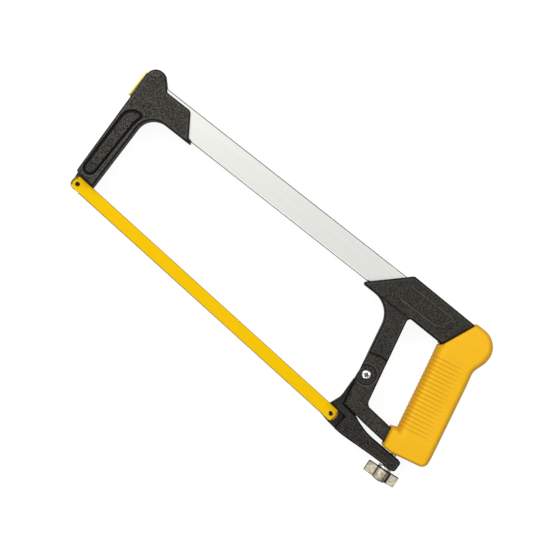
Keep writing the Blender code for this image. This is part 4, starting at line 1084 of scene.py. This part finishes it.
def make_blade():
    """Hacksaw blade: 24 teeth to the inch between its ends, set in a shallow wave to both sides."""
    length, up, down, end, r = 300.0, 6.5, 5.75, 6.0, 5.25
    pitch, deep = 25.4 / 24, 0.62
    pts = []
    steps = 14

    def arc(cx, cy, a0, a1):
        for k in range(steps + 1):
            t = math.radians(a0 + (a1 - a0) * k / steps)
            pts.append((cx + r * math.cos(t), cy + r * math.sin(t), 0))
    # lower edge from the front end to the rear end, with teeth
    arc(-end + r, -down + r, 180, 270)
    x = 5.5
    while x < length - 5.5:
        pts.append((x, -down + deep, 1))
        pts.append((x + pitch * 0.80, -down, 1))
        pts.append((x + pitch * 0.99, -down + 0.05, 1))
        x += pitch
    pts.append((x, -down + deep * 0.2, 0))
    arc(length + end - r, -down + r, 270, 360)
    arc(length + end - r, up - r, 0, 90)
    arc(-end + r, up - r, 90, 180)
    thick = 0.65
    bm = bmesh.new()
    lower = [bm.verts.new((p[0], p[1], 0.0)) for p in pts]
    bm.faces.new(lower)
    ext = bmesh.ops.extrude_face_region(bm, geom=bm.faces[:])
    upper = [v for v in ext["geom"] if isinstance(v, bmesh.types.BMVert)]
    bmesh.ops.translate(bm, verts=upper, vec=(0, 0, thick))
    bmesh.ops.recalc_face_normals(bm, faces=bm.faces[:])
    me = bpy.data.meshes.new("blade_toothed")
    bm.to_mesh(me)
    bm.free()
    ob = bpy.data.objects.new("blade_toothed", me)
    bpy.context.scene.collection.objects.link(ob)
    cutters = []
    for hx in (0.0, length):
        c = bmesh.new()
        bmesh.ops.create_cone(c, cap_ends=True, segments=48, radius1=2.1, radius2=2.1, depth=6.0,
                              matrix=Matrix.Translation((hx, 0.0, 0.3)))
        hm = bpy.data.meshes.new("hole")
        c.to_mesh(hm)
        c.free()
        h = bpy.data.objects.new("hole", hm)
        bpy.context.scene.collection.objects.link(h)
        mod = ob.modifiers.new("hole", "BOOLEAN")
        mod.object = h
        mod.solver = "EXACT"
        cutters.append(h)
    dg = bpy.context.evaluated_depsgraph_get()
    done = bpy.data.meshes.new_from_object(ob.evaluated_get(dg))
    ob.modifiers.clear()
    ob.data = done
    for h in cutters:
        bpy.data.objects.remove(h, do_unlink=True)
    bm = bmesh.new()
    bm.from_mesh(ob.data)
    bmesh.ops.triangulate(bm, faces=[f for f in bm.faces if len(f.verts) > 4])
    # strips along the blade, so that the edge shading and the wave have points to sit on
    for y in (-down + deep + 0.1, -down + deep + 0.4, -down + deep + 1.0, up - 0.3, up - 0.6, up - 1.0):
        bmesh.ops.bisect_plane(bm, geom=bm.verts[:] + bm.edges[:] + bm.faces[:], dist=1e-4,
                               plane_co=(0, y, 0), plane_no=(0, 1, 0))
    for k in range(1, 100):
        bmesh.ops.bisect_plane(bm, geom=bm.verts[:] + bm.edges[:] + bm.faces[:], dist=1e-4,
                               plane_co=(k * 3.0 + 0.137, 0, 0), plane_no=(1, 0, 0))
    # how near each point lies to the outline, for the painted shade along the edges
    edge = []
    for v in bm.verts:
        x, y, z = v.co
        # distance to the blade's outline
        if x < -end + r or x > length + end - r:
            cx = -end + r if x < length / 2 else length + end - r
            cy = min(max(y, -down + r), up - r)
            d = (r - math.hypot(x - cx, y - cy)) * 1.6
        else:
            d = min(y + down - (0.3 if 5 < x < length - 5 else 0.0), up - y)
        edge.append(1.0 - min(max(d / (1.3 if y < 0.0 else 0.95), 0.0), 1.0))
        if y < -down + deep + 0.95 and 5.0 < x < length - 5.0:
            amp = 0.12 * min(1.0, (x - 5.0) / 6.0, (length - 5.0 - x) / 6.0) * min(1.0, (-down + deep + 0.95 - y) / 1.2)
            v.co.z += amp * math.sin(2 * math.pi * x / 7.6)
    bm.to_mesh(ob.data)
    bm.free()
    ob.data.transform(Matrix.Translation((FRONT_HOLE.x, FRONT_HOLE.y, 0.0)) @ Matrix.Rotation(BLADE_SLOPE, 4, "Z"))
    ob.data.transform(TO_ROW)
    paint_points(ob, "edge", edge)
    return settle(ob, "blade", MAT["blade"], ["blade"], sharp=30.0)


make_rear_casting()
make_front_casting()
make_lever()
make_grip()
make_wing_nut()
make_washer()
make_pivot_screw()
make_pivot_nut()
make_pivot_washer()
make_fixing_screw("front_casting_screw", FRONT_SCREW, 8.5)
make_fixing_screw("rear_casting_screw_1", REAR_SCREWS[0], 9.0)
make_fixing_screw("rear_casting_screw_2", REAR_SCREWS[1], 9.0)
make_stud()
make_peg("front_blade_pin", FRONT_PEG, -8.3, "frame")
make_peg("rear_blade_pin", REAR_PEG, -6.2, "lever")
make_cap()
make_tube()
make_blade()

# pieces that stay as they come from the frame
for _n, _m in (("pivot_bush", MAT["zinc"]), ("stud_anchor_nut", MAT["zinc"])):
    _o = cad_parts[_n]
    _o.data.materials.clear()
    _o.data.materials.append(_m)

# ------------------------------------------------------------- floor, light, camera
def make_floor():
    bm = bmesh.new()
    bmesh.ops.create_grid(bm, x_segments=2, y_segments=2, size=6.0)
    me = bpy.data.meshes.new("floor")
    bm.to_mesh(me)
    bm.free()
    ob = bpy.data.objects.new("floor", me)
    bpy.context.scene.collection.objects.link(ob)
    ob.location = (0.0, 0.0, -0.0002)
    m = bpy.data.materials.new("floor_pale")
    m.use_nodes = True
    nt = m.node_tree
    b = nt.nodes["Principled BSDF"]
    out = nt.nodes["Material Output"]
    b.inputs["Base Color"].default_value = (0.14, 0.14, 0.14, 1.0)
    b.inputs["Roughness"].default_value = 0.9
    b.inputs["Specular IOR Level"].default_value = 0.0
    b.inputs["Emission Color"].default_value = (1.0, 1.0, 1.0, 1.0)
    path = nt.nodes.new("ShaderNodeLightPath")
    nt.links.new(spread(nt, path.outputs["Is Camera Ray"], 0.0, 1.0, 0.38, 0.90), b.inputs["Emission Strength"])
    clear = nt.nodes.new("ShaderNodeBsdfTransparent")
    geo = nt.nodes.new("ShaderNodeNewGeometry")
    both = nt.nodes.new("ShaderNodeMixShader")
    nt.links.new(geo.outputs["Backfacing"], both.inputs["Fac"])
    nt.links.new(b.outputs["BSDF"], both.inputs[1])
    nt.links.new(clear.outputs["BSDF"], both.inputs[2])
    nt.links.new(both.outputs["Shader"], out.inputs["Surface"])
    me.materials.append(m)


def make_world():
    w = bpy.data.worlds.new("studio")
    bpy.context.scene.world = w
    w.use_nodes = True
    nt = w.node_tree
    bg = nt.nodes["Background"]
    tc = nt.nodes.new("ShaderNodeTexCoord")
    sep = nt.nodes.new("ShaderNodeSeparateXYZ")
    nt.links.new(tc.outputs["Generated"], sep.inputs["Vector"])
    up = spread(nt, sep.outputs["Z"], -0.25, 0.9, 0.0, 1.0)
    light = shades(nt, up, [(0.0, (0.45, 0.45, 0.45)), (0.22, (0.06, 0.06, 0.065)), (0.52, (0.12, 0.12, 0.125)), (0.85, (0.78, 0.78, 0.78)), (1.0, (0.86, 0.86, 0.86))])
    # a brighter patch of ceiling beyond the front end, which the tube and blade mirror along their first third
    patch = spread(nt, sep.outputs["X"], -0.05, -0.20, 0.0, 0.40)
    light = mix(nt, 1.0, light, mix(nt, patch, (0.0, 0.0, 0.0), (1.0, 1.0, 1.0)), "ADD")
    path = nt.nodes.new("ShaderNodeLightPath")
    nt.links.new(mix(nt, path.outputs["Is Camera Ray"], light, (0.93, 0.93, 0.93)), bg.inputs["Color"])
    bg.inputs["Strength"].default_value = 1.0


def area(name, at, size, watts, colour=(1.0, 1.0, 1.0), aim=(0.0, 0.0, 0.0)):
    d = bpy.data.lights.new(name, "AREA")
    d.shape = "DISK"
    d.size = size
    d.energy = watts
    d.color = colour
    o = bpy.data.objects.new(name, d)
    bpy.context.scene.collection.objects.link(o)
    o.location = at
    o.rotation_mode = "QUATERNION"
    o.rotation_quaternion = (Vector(aim) - Vector(at)).to_track_quat("-Z", "Y")
    return o


ROLL = math.radians(38.17)
RIGHT = Vector((math.cos(ROLL), math.sin(ROLL), 0.0))
UP = Vector((-math.sin(ROLL), math.cos(ROLL), 0.0))
make_floor()
make_world()
_mid = SHIFT * 0.001
area("key", _mid + UP * 1.25 - RIGHT * 0.75 + Vector((0, 0, 1.35)), 0.9, 21.0, (1.0, 0.995, 0.985))
area("side", _mid + RIGHT * 1.35 + UP * 0.35 + Vector((0, 0, 1.25)), 0.9, 9.0, (0.99, 0.995, 1.0))
area("fill", _mid - RIGHT * 0.9 - UP * 1.2 + Vector((0, 0, 1.0)), 1.0, 5.0, (0.98, 0.99, 1.0))

cam_data = bpy.data.cameras.new("camera")
cam_data.sensor_width = 36.0
cam_data.lens = 36.0 * 1150.0 / 492.2
cam_data.clip_start, cam_data.clip_end = 0.05, 20.0
cam = bpy.data.objects.new("camera", cam_data)
bpy.context.scene.collection.objects.link(cam)
cam.location = _mid + Vector((0.0, 0.0, 1.150))
cam.rotation_euler = (0.0, 0.0, ROLL)
bpy.context.scene.camera = cam
bpy.context.scene.view_settings.view_transform = "Standard"
bpy.context.scene.view_settings.look = "None"
